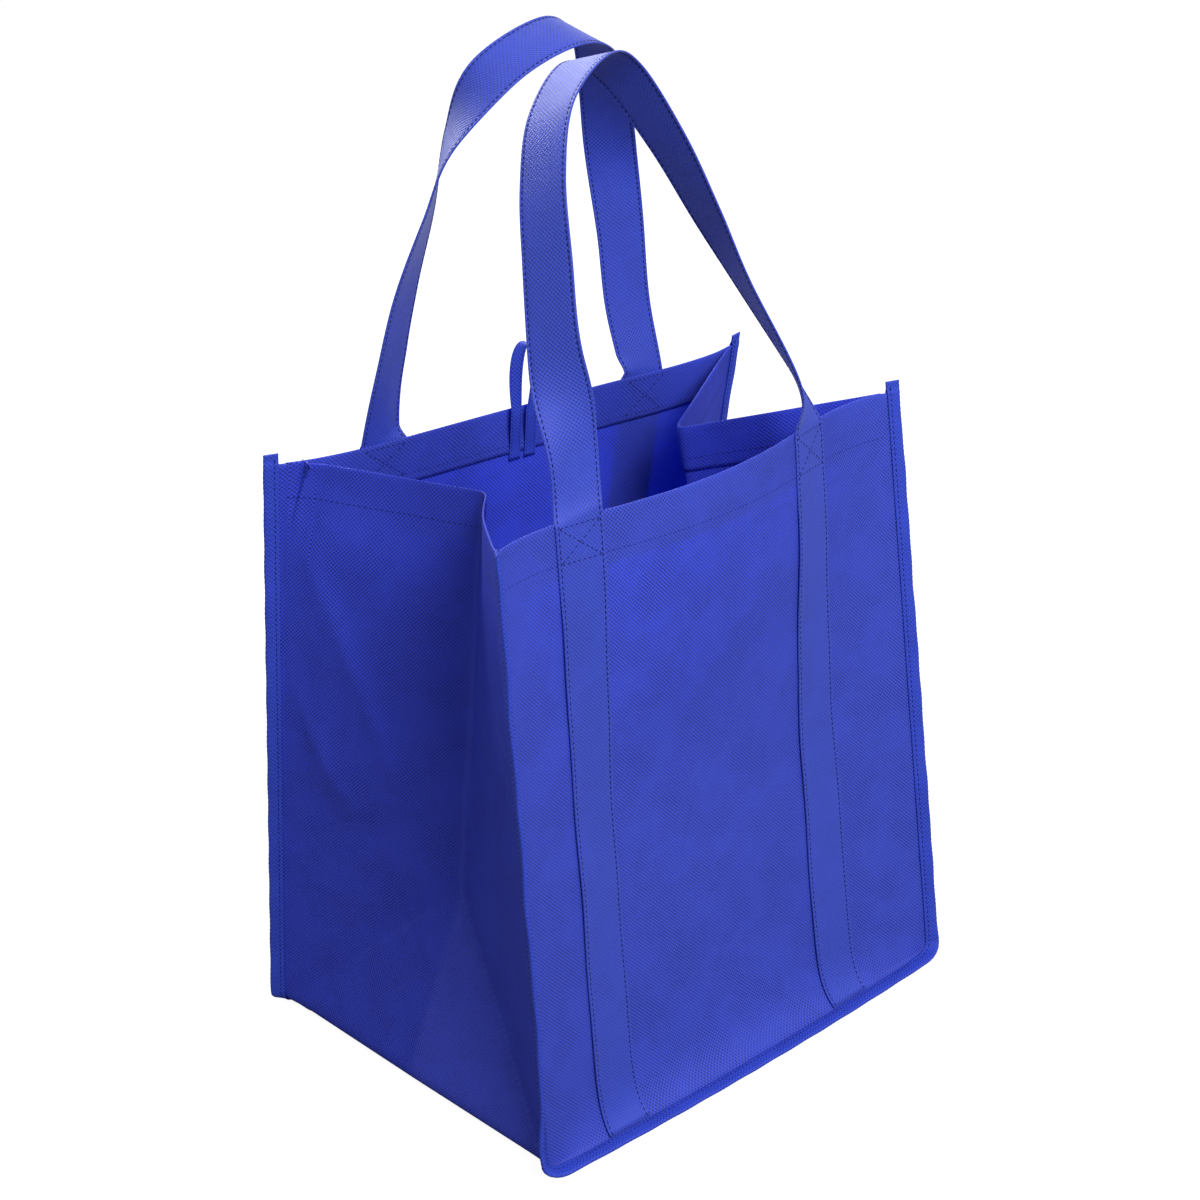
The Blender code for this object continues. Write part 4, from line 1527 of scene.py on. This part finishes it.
    def hem_stitches(self) -> list[Line]:
        """Lines of the stitches of both hems.

        Returns:
            A line on each side of each hem.
        """
        form, hem = self.form, self.hem
        normals = grid_normals(self.points)
        chosen = np.abs(self.across) < form.half_depth - self.stitch_margin
        lines = []
        row = int(round(self.stitched / self.step))
        for index in (row, len(self.runs) - 1 - row):
            path, normal = self.points[index][chosen], normals[index][chosen]
            for side in (-1, 1):
                inner = hem.spacing if side * self.inside > 0 else 0.0
                lines.append((path + normal * side * (inner + form.cloth / 2), normal * side))
        return lines


@dataclass
class BindingTape:
    """Tape folded over one flange, down one side, along the bottom and up the other side.

    Args:
        face: The flange that it binds.
        start: Distance of the tape's edges from the seam.
        stitched: Distance of the line of stitches from the seam.
        spots: Distances of its other lines of points from the seam, up to the fold.
        pitch: Distance from one stitch to the next.
        pinch: How deep the stitches pull the tape in.
        groove: Half width of the groove that they make.
        pucker: How far the edge lifts between the stitches.
        slack: How far the edge lifts in slow waves.
        slack_length: Length of these waves for a turn of one radian.
        loose_edge: Width of the edge that lifts.
        strap_room: How far the edge stands back from the seam along the bottom, where the straps end.
        room_margin: How far from the bottom corners it does so.
        roll: How far the fold rolls in and out, with the stitches and in slow waves.
        roll_length: Length of these slow waves for a turn of one radian.
        twist: How far the fold twists between the stitches.
        pressed_end: Share by which the ends that stand over the rim lie flatter.
    """

    form: BagForm
    face: Face
    finish: ClothFinish
    left_tail: float = 0.0070
    right_tail: float = 0.0070
    start: float = 0.0010
    stitched: float = 0.0034
    spots: tuple[float, ...] = (0.0019, 0.0027, 0.0041, 0.0050, 0.0062, 0.0074)
    fold_points: int = 5
    pitch: float = 0.0034
    pinch: float = 0.00022
    groove: float = 0.0007
    pucker: float = 0.00012
    slack: float = 0.0002
    slack_length: float = 0.0061
    loose_edge: float = 0.0016
    strap_room: float = 0.0009
    room_margin: float = 0.012
    roll: tuple[float, float] = (0.00009, 0.00014)
    roll_length: float = 0.0047
    twist: float = 0.00013
    pressed_end: float = 0.72
    step: float = 0.0011

    def lift(self, run: Array, out: Array) -> Array:
        """Lift of the tape's side: pinched along the stitches and puckered between them.

        Args:
            run: Runs along the seam path.
            out: Distances out of the seam.

        Returns:
            Lifts off the flange.
        """
        groove = bell(out - self.stitched, self.groove)
        pucker = 0.5 + 0.5 * np.cos(2 * math.pi * run / self.pitch)
        edge = smooth(1 - (out - self.start) / self.loose_edge)
        ease = 0.5 + 0.5 * np.sin(run / self.slack_length + self.face)
        return -self.pinch * groove * (0.6 + 0.4 * pucker) + (self.pucker * pucker + self.slack * ease) * edge

    def step_out(self, run: Array) -> Array:
        """How far the tape's edge stands back from the seam along the bottom."""
        from_middle = np.abs(run - self.form.path_length / 2)
        return self.strap_room * smooth((self.form.half_width - self.room_margin - from_middle) / 0.01)

    def section(self) -> Line:
        """Places round the tape's section.

        Returns:
            Distances out of the seam, and sides of the flange from 1 to -1.
        """
        form = self.form
        bend = form.flange + (form.layer_step + form.cloth) / 2 - form.layer_gap
        near = sorted((self.start, self.stitched, *self.spots, bend))
        turns = np.linspace(0, math.pi, self.fold_points + 2)[1:-1]
        rim = [(bend + form.tape_offset * math.sin(turn), math.cos(turn)) for turn in turns]
        places = [(out, 1.0) for out in near] + rim + [(out, -1.0) for out in near[::-1]]
        out, side = np.array(places).T
        return out, side

    def build(self) -> None:
        """Make the tape."""
        form, name = self.form, f"{self.face.name.lower()}_binding"
        runs = steps(-self.left_tail, form.path_length + self.right_tail, self.step)
        run, (out, side) = runs[:, None], self.section()
        girth = run_lengths(np.stack([out, side * form.tape_offset], -1))
        out, side = out[None], side[None]
        flat_side = np.abs(side) > 0.999
        stitch_turn = 2 * math.pi * run / self.pitch
        roll = self.roll[0] * np.sin(stitch_turn + 1.2) + self.roll[1] * np.sin(run / self.roll_length)
        twist = self.twist * np.sin(stitch_turn + 0.6 * math.pi * side)
        twist = twist * smooth((out - self.stitched) / 0.0015)
        beyond = np.maximum(-run, run - form.path_length)
        closed = 1 - self.pressed_end * smooth(beyond / 0.003)
        lift = np.where(flat_side, self.lift(run, out), 0.0)
        lifted = side * closed * (form.tape_offset + lift + twist)
        inner = flat_side & (side > 0) & (out < self.stitched)
        out_there = out + np.where(flat_side, 0.0, roll) + np.where(inner, self.step_out(run), 0.0)
        points = form.on_flange(self.face, run, out_there, lifted)
        item = MeshMaker.grid(f"{name}_tape", points, flat_grid(girth, runs))
        MeshMaker.thicken(item, form.tape)
        MeshMaker.dress(item, self.finish, "binding_tape", [name])

    def stitches(self) -> list[Line]:
        """Lines of the stitches.

        Returns:
            A line on each side of the flange.
        """
        form, end = self.form, 0.003
        run = steps(end - self.left_tail, form.path_length + self.right_tail - end, 0.002)
        lines = []
        for side in (-1, 1):
            lift = side * (form.tape_offset + form.tape / 2 - self.pinch * 0.7)
            path = form.on_flange(self.face, run, self.stitched, lift)
            lines.append((path, form.flange_frame(self.face, run)[1] * side))
        return lines


@dataclass(frozen=True)
class BandSection:
    """Section of a strap or tape: folded edges outside two lines of stitches, a soft middle between.

    Args:
        width: Width of the band.
        stitched: Distance of the stitches from each edge.
        fullness: Multiplies the half thicknesses.
    """

    width: float
    stitched: float = 0.0021
    fullness: float = 1.0

    # Distance from the edge and half thickness there, in millimetres.
    PROFILE = (
        (0.0, 0.0), (0.10, 0.26), (0.30, 0.48), (0.7, 0.62), (1.1, 0.60), (1.5, 0.46),
        (1.9, 0.33), (2.3, 0.33), (2.9, 0.44), (4.4, 0.52), (8.0, 0.55), (16.0, 0.56),
    )

    def ring(self) -> Array:
        """Places round the section.

        Returns:
            Distances across the width and through the thickness.
        """
        half = self.width / 2
        inset = [spot * MM for spot, _ in self.PROFILE if spot * MM <= half]
        across = np.array([spot - half for spot in inset] + [half - spot for spot in inset[-2::-1]])
        thick = self.half_thickness(across)
        top = list(zip(across, thick))
        bottom = list(zip(across[-2:0:-1], -thick[-2:0:-1]))
        return np.array(top + bottom)

    def half_thickness(self, across: Places) -> Array:
        """Half thickness at places across the band.

        Args:
            across: Distances from its middle.

        Returns:
            Half thicknesses.
        """
        inset = (self.width / 2 - np.abs(across)) / MM
        spots, halves = zip(*self.PROFILE)
        return np.interp(inset, spots, halves) * MM * self.fullness


class Band:
    """A strap or tape that carries its section along rows of points."""

    section: BandSection

    def rows(self, ring: Array) -> Array:
        """Rows of points along the whole band, for places round its section."""
        raise NotImplementedError

    def make(self, name: str) -> tuple[bpy.types.Object, float]:
        """Make the band.

        Args:
            name: Name of the object.

        Returns:
            The object, and its length.
        """
        ring = self.section.ring()
        points = self.rows(ring)
        length = run_lengths(points.mean(axis=1))
        girth = run_lengths(np.concatenate([ring, ring[:1]]))
        return MeshMaker.grid(name, points, flat_grid(girth, length), ring=True), length[-1]

    def edge_stitches(self) -> list[Line]:
        """Lines of the stitches along both edges.

        Returns:
            A line on each face of the band at each edge.
        """
        inset = self.section.width / 2 - self.section.stitched
        half = float(self.section.half_thickness(inset))
        lines = []
        for across in (-inset, inset):
            rows = self.rows(np.array([(across, half), (across, -half)]))
            outward = unit(rows[:, 0] - rows[:, 1])
            lines += [(rows[:, 0], outward), (rows[:, 1], -outward)]
        return lines


@dataclass(frozen=True)
class Crease:
    """Crease above the rim, over which the left side of a handle falls back.

    Args:
        fall: How far the strap falls where it falls most.
        heights: Heights of the crease over the rim at the strap's outer and inner edge.
        reach: Distance from the crease to the place that falls most.
        end: Share of the handle at which no fall is left, then the share in which it fades.
    """

    fall: tuple[float, float, float] = (0.0055, 0.0062, -0.0036)
    heights: tuple[float, float] = (0.004, 0.010)
    reach: float = 0.045
    end: tuple[float, float] = (0.45, 0.25)

    def shift(self, above: Array, place: Array, share: Array) -> Array:
        """Moves of a handle's points.

        Args:
            above: Heights over the rim.
            place: Places across the strap, from nought to one.
            share: Shares of the way along the handle.

        Returns:
            A move for each point.
        """
        outer, inner = self.heights
        past = np.maximum(above - outer - (inner - outer) * place, 0) / self.reach
        last, fade = self.end
        return (past * np.exp(1 - past) * smooth((last - share) / fade))[..., None] * np.array(self.fall)


@dataclass(frozen=True)
class Tuck:
    """Pull on the inner edge of a handle's leg, just above the rim.

    Args:
        hand: The leg.
        pull: How far the edge is pulled.
        start: Height over the rim where that starts.
        peak: Height where it is greatest.
        end: Height where it ends.
    """

    hand: Hand
    pull: tuple[float, float, float]
    start: float
    peak: float
    end: float

    def shift(self, above: Array, place: Array, share: Array) -> Array:
        """Moves of a handle's points.

        Args:
            above: Heights over the rim.
            place: Places across the strap, from nought to one.
            share: Shares of the way along the handle.

        Returns:
            A move for each point.
        """
        inner_edge = smooth((place - 0.4) / 0.6)
        leg = share <= 0.5 if self.hand == Hand.LEFT else share > 0.5
        grown = smooth((above - self.start) / (self.peak - self.start))
        left = smooth((self.end - above) / (self.end - self.peak))
        return (grown * left * leg * inner_edge)[..., None] * np.array(self.pull)


@dataclass
class CarryStrap(Band):
    """One strap: from the bottom seam up the panel, over as the handle and down again.

    Args:
        guide: Guide stations of the free handle.
        folds: The handle's crease or tucks.
        slip: How far the right leg was sewn from its even place.
        edge_lift: How far its left edges stand off the panel.
        pitch: Distance between the middles of its two legs.
        middle: Place of the point half way between them.
        gap: Gap between the strap and the panel.
        foot: Height of its ends over the bottom seam.
        rise: Rise of the handle over the rim for a share of one.
        lean: Lean of the handle for a share of one.
        box_margin: Distance of the box stitches from the rim.
    """

    panel: PanelSheet
    guide: tuple[tuple[float, ...], ...]
    finish: ClothFinish
    section: BandSection
    folds: tuple[Crease | Tuck, ...]
    slip: float = 0.0
    edge_lift: float = 0.0
    pitch: float = 0.191
    middle: float = -0.007
    gap: float = 0.00012
    foot: float = 0.0002
    rise: float = 0.222
    lean: float = 0.088
    box_margin: float = 0.0022
    step: float = 0.0025
    handle_rows: int = 240

    @property
    def form(self) -> BagForm:
        """The bag's form."""
        return self.panel.form

    @property
    def seat(self) -> float:
        """Distance of the strap's middle layer from the middle of the panel's cloth."""
        return self.form.cloth / 2 + self.gap + self.section.half_thickness(0.0)

    def place(self, hand: Hand) -> float:
        """Place along the panel of the middle of a leg."""
        return self.middle + hand * self.pitch / 2

    def on_panel(self, hand: Hand, height: Array, across: Array, through: Array) -> Array:
        """Points of a sewn leg.

        Args:
            hand: The leg.
            height: Heights along the panel.
            across: Places across the strap.
            through: Places through its thickness.

        Returns:
            Points of the leg.
        """
        place = self.place(hand) + (self.slip if hand == Hand.RIGHT else 0.0)
        along = place - hand * across
        left_edge = smooth((place - along) / (self.section.width / 2) * 3 - 2)
        calm = smooth((self.form.height - self.panel.hem.depth - height) / 0.03)
        lift = self.edge_lift * left_edge * calm * (0.75 + 0.25 * np.sin(height / 0.021))
        return self.panel.layer(along, height, -(self.seat + through + lift))

    def spline(self, share: Array) -> Array:
        """Guide values between the stations, by a smooth curve through them.

        Args:
            share: Shares of the way along the handle.

        Returns:
            The five guide values at each share.
        """
        values = np.array(self.guide, float)
        last = len(values) - 1
        place = np.asarray(share) * last
        index = np.minimum(place.astype(int), last - 1)
        local = (place - index)[..., None]
        start, end = values[index], values[index + 1]
        before = pick(index > 0, values[np.maximum(index - 1, 0)], 2 * start - end)
        after = pick(index + 2 <= last, values[np.minimum(index + 2, last)], 2 * end - start)
        slopes = (end - before) / 2, (after - start) / 2
        square, cube = local**2, local**3
        return (
            start * (2 * cube - 3 * square + 1)
            + slopes[0] * (cube - 2 * square + local)
            + end * (3 * square - 2 * cube)
            + slopes[1] * (cube - square)
        )

    def rim_point(self, along: float) -> Array:
        """Point of the strap's middle layer at the rim."""
        return self.panel.layer(np.asarray(along), np.asarray(self.form.height), -self.seat)

    def rim_turn(self, hand: Hand) -> float:
        """Angle in plan of the rim behind a leg.

        Args:
            hand: The leg.

        Returns:
            The angle, in radians.
        """
        half = self.section.width / 2
        inner, outer = (self.rim_point(self.place(hand) + hand * side * half) for side in (-1, 1))
        across = (outer - inner) * hand
        return math.atan2(across[1], across[0])

    @cached_property
    def ribbon(self) -> tuple[Array, Array, Array]:
        """Course of the free handle.

        Returns:
            Its centre line, and its directions over the width and through the strap.
        """
        share = np.linspace(0, 1, self.handle_rows + 1)
        way, lean, rise, turn, tip = np.moveaxis(self.spline(share), -1, 0)
        left, right = (self.rim_point(self.place(hand)) for hand in Hand)
        centre = mix(left, right, way)
        centre[:, 1] -= self.panel.face * lean * self.lean
        centre[:, 2] += rise * self.rise
        rim = self.rim_turn(Hand.LEFT) * (1 - share) + self.rim_turn(Hand.RIGHT) * share
        turn, tip = np.radians(turn) + rim, np.radians(tip)
        width = np.stack([np.cos(turn) * np.cos(tip), np.sin(turn) * np.cos(tip), np.sin(tip)], -1)
        forward = unit(np.gradient(centre, axis=0))
        through = unit(np.cross(width, forward)) * -self.panel.face
        return centre, width, through

    def rows(self, ring: Array) -> Array:
        """Rows of points along the whole strap.

        Args:
            ring: Places round its section.

        Returns:
            Rows from the left foot over the handle to the right foot.
        """
        across, through = ring[:, 0], ring[:, 1]
        heights = steps(self.foot, self.form.height, self.step)
        legs = [self.on_panel(hand, heights[:, None], across[None], through[None]) for hand in Hand]
        centre, width, normal = (values[1:-1, None] for values in self.ribbon)
        handle = centre + width * across[None, :, None] + normal * through[None, :, None]
        above = centre[..., 2] - self.form.height + 0.004
        share = np.linspace(0, 1, len(centre))[:, None]
        place = (across / self.section.width + 0.5)[None]
        for fold in self.folds:
            handle = handle + fold.shift(above, place, share)
        handle[..., 0] += self.slip * np.exp(-above / 0.03) * (share > 0.5)
        return np.concatenate([legs[0], handle, legs[1][::-1]])

    def build(self) -> None:
        """Make the strap."""
        side = self.panel.face.name.lower()
        item, length = self.make(f"{side}_handle_strap")
        MeshMaker.dress(item, self.finish, "strap_cloth", [f"{side}_handle"])

    def box_stitches(self) -> list[Line]:
        """Lines of the box and cross that hold each leg to the hem.

        Returns:
            Lines outside and inside.
        """
        form, section = self.form, self.section
        half, high = section.width / 2 - section.stitched, form.height - self.box_margin
        inner = self.panel.hem.spacing + form.cloth / 2
        share = np.linspace(0, 1, 16)
        lines = []
        for place in (self.place(hand) for hand in Hand):
            top = [(place + side * half, high) for side in (-1, 1)]
            bottom = [(spot, form.height - self.panel.stitch_depth(spot)) for spot, _ in top]
            for start, end in (top, bottom, (top[0], bottom[1]), (bottom[0], top[1])):
                along, height = (low + (up - low) * share for low, up in zip(start, end))
                inward = self.panel.inward(along, height)
                outer = self.seat + section.half_thickness(np.abs(along - place))
                lines.append((self.panel.layer(along, height, -outer), -inward))
                lines.append((self.panel.layer(along, height, inner + 0 * share), inward))
        return lines


@dataclass
class HangingLoop(Band):
    """Narrow tape sewn inside the back hem by both its ends."""

    panel: PanelSheet
    finish: ClothFinish
    section: BandSection
    cut_width: float = 0.010
    pitch: float = 0.011
    middle: float = -0.0030
    rise: float = 0.043
    belly: float = 0.004
    lean: float = 0.004
    tail: float = 0.0345
    gap: float = 0.0004
    stand_off: float = 0.0035
    sway: float = 0.0032
    sewn: float = 0.005
    step: float = 0.0025
    loop_rows: int = 60

    def leg(self, along: Places, depth: Places, through: Places) -> Array:
        """Points of a sewn leg.

        Args:
            along: Places along the panel.
            depth: Depths below the rim.
            through: Places through the tape's thickness.

        Returns:
            Points of the leg.
        """
        form = self.panel.form
        seat = self.panel.hem.spacing + form.cloth / 2 + self.gap
        free = smooth(1 - depth / (self.tail - self.sewn)) ** 0.8
        place = np.asarray(along) - self.sway * free
        lift = seat + through + self.stand_off * free
        return self.panel.layer(place, form.height - np.asarray(depth), lift)

    def rows(self, ring: Array) -> Array:
        """Rows of points along the whole tape.

        Args:
            ring: Places round its section.

        Returns:
            Rows from the left end round the loop to the right end.
        """
        across, through = ring[:, 0], ring[:, 1]
        depths = steps(self.tail, 0, self.step)
        places = {hand: self.middle + hand * (self.pitch / 2 - across)[None] for hand in Hand}
        legs = [self.leg(places[hand], depths[:, None], through[None]) for hand in Hand]
        half_turn = math.pi * np.linspace(0, 1, self.loop_rows + 1)[1:-1]
        wide = 1 + self.belly / (self.pitch / 2) * np.sin(half_turn)
        left, right = (self.leg(self.middle + hand * self.pitch / 2, 0.0, 0.0) for hand in Hand)
        centre = mix(left, right, (1 - np.cos(half_turn) * wide) / 2)
        centre = centre + np.outer(np.sin(half_turn), (0.0, -self.lean, self.rise))
        width = np.stack([np.cos(half_turn), -np.sin(half_turn), 0 * half_turn], -1)
        forward = unit(np.gradient(centre, axis=0))
        normal = unit(np.cross(forward, width))
        loop = centre[:, None] + width[:, None] * across[None, :, None]
        loop = loop - normal[:, None] * through[None, :, None]
        return np.concatenate([legs[0], loop, legs[1][::-1]])

    def build(self) -> None:
        """Make the loop."""
        item, length = self.make("hanging_loop_tape")
        MeshMaker.dress(item, self.finish, "loop_tape", ["hanging_loop"])


@dataclass(frozen=True)
class Lamp:
    """Soft square lamp.

    Args:
        name: Name of the lamp.
        place: Where it stands.
        target: Where it points.
        size: Length of its sides.
        power: Its power, in watts.
    """

    name: str
    place: tuple[float, float, float]
    target: tuple[float, float, float]
    size: float
    power: float

    def build(self) -> None:
        """Make the lamp."""
        data = bpy.data.lights.new(self.name, "AREA")
        data.shape, data.size, data.energy = "SQUARE", self.size, self.power
        item = bpy.data.objects.new(self.name, data)
        item.location = self.place
        item.rotation_euler = (Vector(self.target) - Vector(self.place)).to_track_quat("-Z", "Y").to_euler()
        bpy.context.scene.collection.objects.link(item)


@dataclass(frozen=True)
class Studio:
    """Plain soft studio: white ground, two large lamps, and a camera at the photograph's angle."""

    lens: float = 73.2
    sensor: float = 36.0
    eye: tuple[float, float, float] = (-0.8974, -1.0156, 0.8576)
    heading: float = 41.66
    dip: float = 23.51
    roll: float = -2.33
    sky: float = 0.46
    floor_size: float = 12.0
    floor_z: float = -0.0005
    floor_grey: float = 0.22
    floor_shown: float = 0.35
    floor_veil: float = 0.6
    lamps: tuple[Lamp, ...] = (
        Lamp("key lamp", (-0.35, -2.0, 2.1), (0, -0.1, 0.3), 1.3, 76.0),
        Lamp("back lamp", (0.5, 1.9, 1.5), (0, 0, 0.3), 1.4, 72.0),
    )

    def camera(self) -> None:
        """Make the camera."""
        data = bpy.data.cameras.new("camera")
        data.lens, data.sensor_width, data.sensor_height = self.lens, self.sensor, self.sensor
        data.sensor_fit = "HORIZONTAL"
        item = bpy.data.objects.new("camera", data)
        heading, dip, roll = (math.radians(angle) for angle in (self.heading, self.dip, self.roll))
        level = Vector((math.sin(heading), math.cos(heading), 0.0)) * math.cos(dip)
        forward = level - Vector((0, 0, math.sin(dip)))
        right = forward.cross(Vector((0, 0, 1))).normalized()
        up = right.cross(forward)
        turned_right = right * math.cos(roll) + up * math.sin(roll)
        turned_up = up * math.cos(roll) - right * math.sin(roll)
        axes = Matrix((turned_right, turned_up, -forward)).transposed()
        item.matrix_world = Matrix.Translation(self.eye) @ axes.to_4x4()
        bpy.context.scene.collection.objects.link(item)
        bpy.context.scene.camera = item

    def world(self) -> None:
        """Make the even light of the sky, and plain white where the camera or a gloss looks past the bag."""
        world = bpy.data.worlds.new("white studio")
        bpy.context.scene.world = world
        graph = NodeGraph(world)
        rays = (graph.add("LightPath", output=f"Is {kind} Ray") for kind in ("Camera", "Glossy"))
        seen = graph.add("Math", tuple(rays), operation="MAXIMUM")
        sky, white = (graph.add("Background", {"Strength": strength}) for strength in (self.sky, 1.0))
        surface = graph.add("MixShader", (seen, sky, white))
        graph.add("OutputWorld", {"Surface": surface})

    def floor(self) -> None:
        """Make the pale floor, which the camera sees near white with the bag's shadow on it."""
        mesh = bpy.data.meshes.new("floor")
        sheet = bmesh.new()
        bmesh.ops.create_grid(sheet, x_segments=1, y_segments=1, size=self.floor_size / 2)
        bmesh.ops.translate(sheet, vec=(0, 0, self.floor_z), verts=sheet.verts)
        sheet.to_mesh(mesh)
        sheet.free()
        material = bpy.data.materials.new("matt white floor")
        graph = NodeGraph(material)
        matt = graph.add("BsdfDiffuse", {"Color": [self.floor_grey] * 3 + [1.0]})
        white, veil = (
            graph.add("Emission", {"Color": (1.0, 1.0, 1.0, 1.0), "Strength": strength})
            for strength in (1.0, self.floor_veil)
        )
        shown = graph.add("AddShader", (graph.add("MixShader", (self.floor_shown, matt, white)), veil))
        seen = graph.add("LightPath", output="Is Camera Ray")
        graph.add("OutputMaterial", {"Surface": graph.add("MixShader", (seen, matt, shown))})
        mesh.materials.append(material)
        item = bpy.data.objects.new("floor", mesh)
        bpy.context.scene.collection.objects.link(item)

    def build(self) -> None:
        """Make the whole studio."""
        self.world()
        self.floor()
        for lamp in self.lamps:
            lamp.build()
        self.camera()
        bpy.context.scene.view_settings.view_transform = "Standard"


@dataclass
class ShoppingBag:
    """The whole bag, dressed piece by piece.

    Args:
        board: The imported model's insert board, which gets its finish here.
        form: The bag's form.
        hem: The hem of its rim.
    """

    board: bpy.types.Object
    form: BagForm = field(default_factory=BagForm)
    hem: Hem = field(default_factory=Hem)

    # One layer of cloth lets much light through, and folded or doubled cloth next to none.
    PANEL_CLOTH = ClothFinish(
        "embossed spunbond polypropylene, panels", "#3f50c2", 0.26, sheen=0.03, gloss=0.32
    )
    GUSSET_CLOTH = ClothFinish("embossed spunbond polypropylene, gussets", "#3746c2", 0.18)
    # The tape is the same cloth as the panels, but its colour is darker, as painted shade for the tape down
    # the shaded left side.
    TAPE_CLOTH = ClothFinish("folded spunbond tape", "#3346b8", 0.05, pit_depth=0.10)
    STRAP_CLOTH = ClothFinish("folded spunbond strap", "#3043b2", 0.03, 0.14, sheen=0.20, gloss=0.42)
    # Its navy is partly the thread's own colour and partly painted shade of the dimples that the stitches
    # sink into.
    NAVY_THREAD_WITH_PAINTED_SHADE = ThreadFinish("navy polyester thread with painted shade", "#0f1556")
    BLUE_THREAD = ThreadFinish("blue polyester thread", "#1f2a8a")

    # How each strap departs from the even one.
    STRAP_WAYS = {
        Face.FRONT: {"guide": FRONT_GUIDE, "folds": (Crease(),), "edge_lift": 0.0009},
        Face.BACK: {
            "guide": BACK_GUIDE,
            "folds": (
                Tuck(Hand.LEFT, (-0.0014, 0.0052, 0.0), 0.0, 0.009, 0.060),
                Tuck(Hand.RIGHT, (0.0012, -0.0024, 0.0), 0.0, 0.004, 0.015),
            ),
            "slip": -0.0025,
        },
    }
    LEFT_TAILS = {Face.FRONT: 0.003, Face.BACK: 0.007}

    def build_gusset(self) -> None:
        """Make the gusset strip and its stitches."""
        gusset = GussetSheet(self.form, self.hem, self.GUSSET_CLOTH, Waves(11, 0.0008, 0.06, 0.16))
        gusset.build()
        stitching = Stitching(self.NAVY_THREAD_WITH_PAINTED_SHADE, length=0.0023, radius=0.00022)
        stitching.make("gusset_hem_thread", gusset.hem_stitches(), "gusset_cloth")

    def build_side(self, face: Face) -> PanelSheet:
        """Make one panel with its tape, its strap and their stitches.

        Args:
            face: Front or back.

        Returns:
            The panel.
        """
        side = face.name.lower()
        panel = PanelSheet(self.form, face, self.hem, self.PANEL_CLOTH, Waves(5 + face, 0.00045, 0.07, 0.18))
        panel.build()
        tape = BindingTape(self.form, face, self.TAPE_CLOTH, self.LEFT_TAILS[face])
        tape.build()
        fine = Stitching(self.NAVY_THREAD_WITH_PAINTED_SHADE, length=0.0023, radius=0.00026)
        fine.make(f"{side}_binding_thread", tape.stitches(), "binding_tape")
        ways = self.STRAP_WAYS[face]
        strap = CarryStrap(panel, finish=self.STRAP_CLOTH, section=BandSection(0.032), **ways)
        strap.build()
        Stitching(self.NAVY_THREAD_WITH_PAINTED_SHADE).make(f"{side}_handle_thread", strap.edge_stitches(), "strap_cloth")
        fine.make(f"{side}_box_thread", strap.box_stitches(), "strap_cloth")
        return panel

    def build_loop(self, panel: PanelSheet) -> None:
        """Make the hanging loop and its stitches.

        Args:
            panel: The back panel.
        """
        loop = HangingLoop(panel, self.TAPE_CLOTH, BandSection(0.008, stitched=0.0012, fullness=0.5))
        loop.build()
        stitching = Stitching(self.NAVY_THREAD_WITH_PAINTED_SHADE, length=0.002, radius=0.00016, pitch=0.0028)
        stitching.make("hanging_loop_thread", loop.edge_stitches(), "loop_tape")

    def build(self) -> None:
        """Make every piece."""
        self.build_gusset()
        panels = [self.build_side(face) for face in Face]
        self.build_loop(panels[-1])
        stitching = Stitching(self.BLUE_THREAD, length=0.0023, radius=0.00022)
        lines = [line for panel in panels for line in panel.hem_stitches()]
        stitching.make("hem_thread", lines, "panel_cloth")
        self.board.data.materials.clear()
        self.board.data.materials.append(BoardFinish().material)
        LOG.info("base_board: finished")


def main() -> None:
    """Load the frame, dress the bag and light it."""
    logging.basicConfig(level=logging.INFO, format="%(name)s: %(message)s")
    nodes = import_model()["nodes"]
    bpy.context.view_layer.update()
    ShoppingBag(nodes["base_board"]).build()
    Studio().build()


if __name__ == "__main__":
    main()
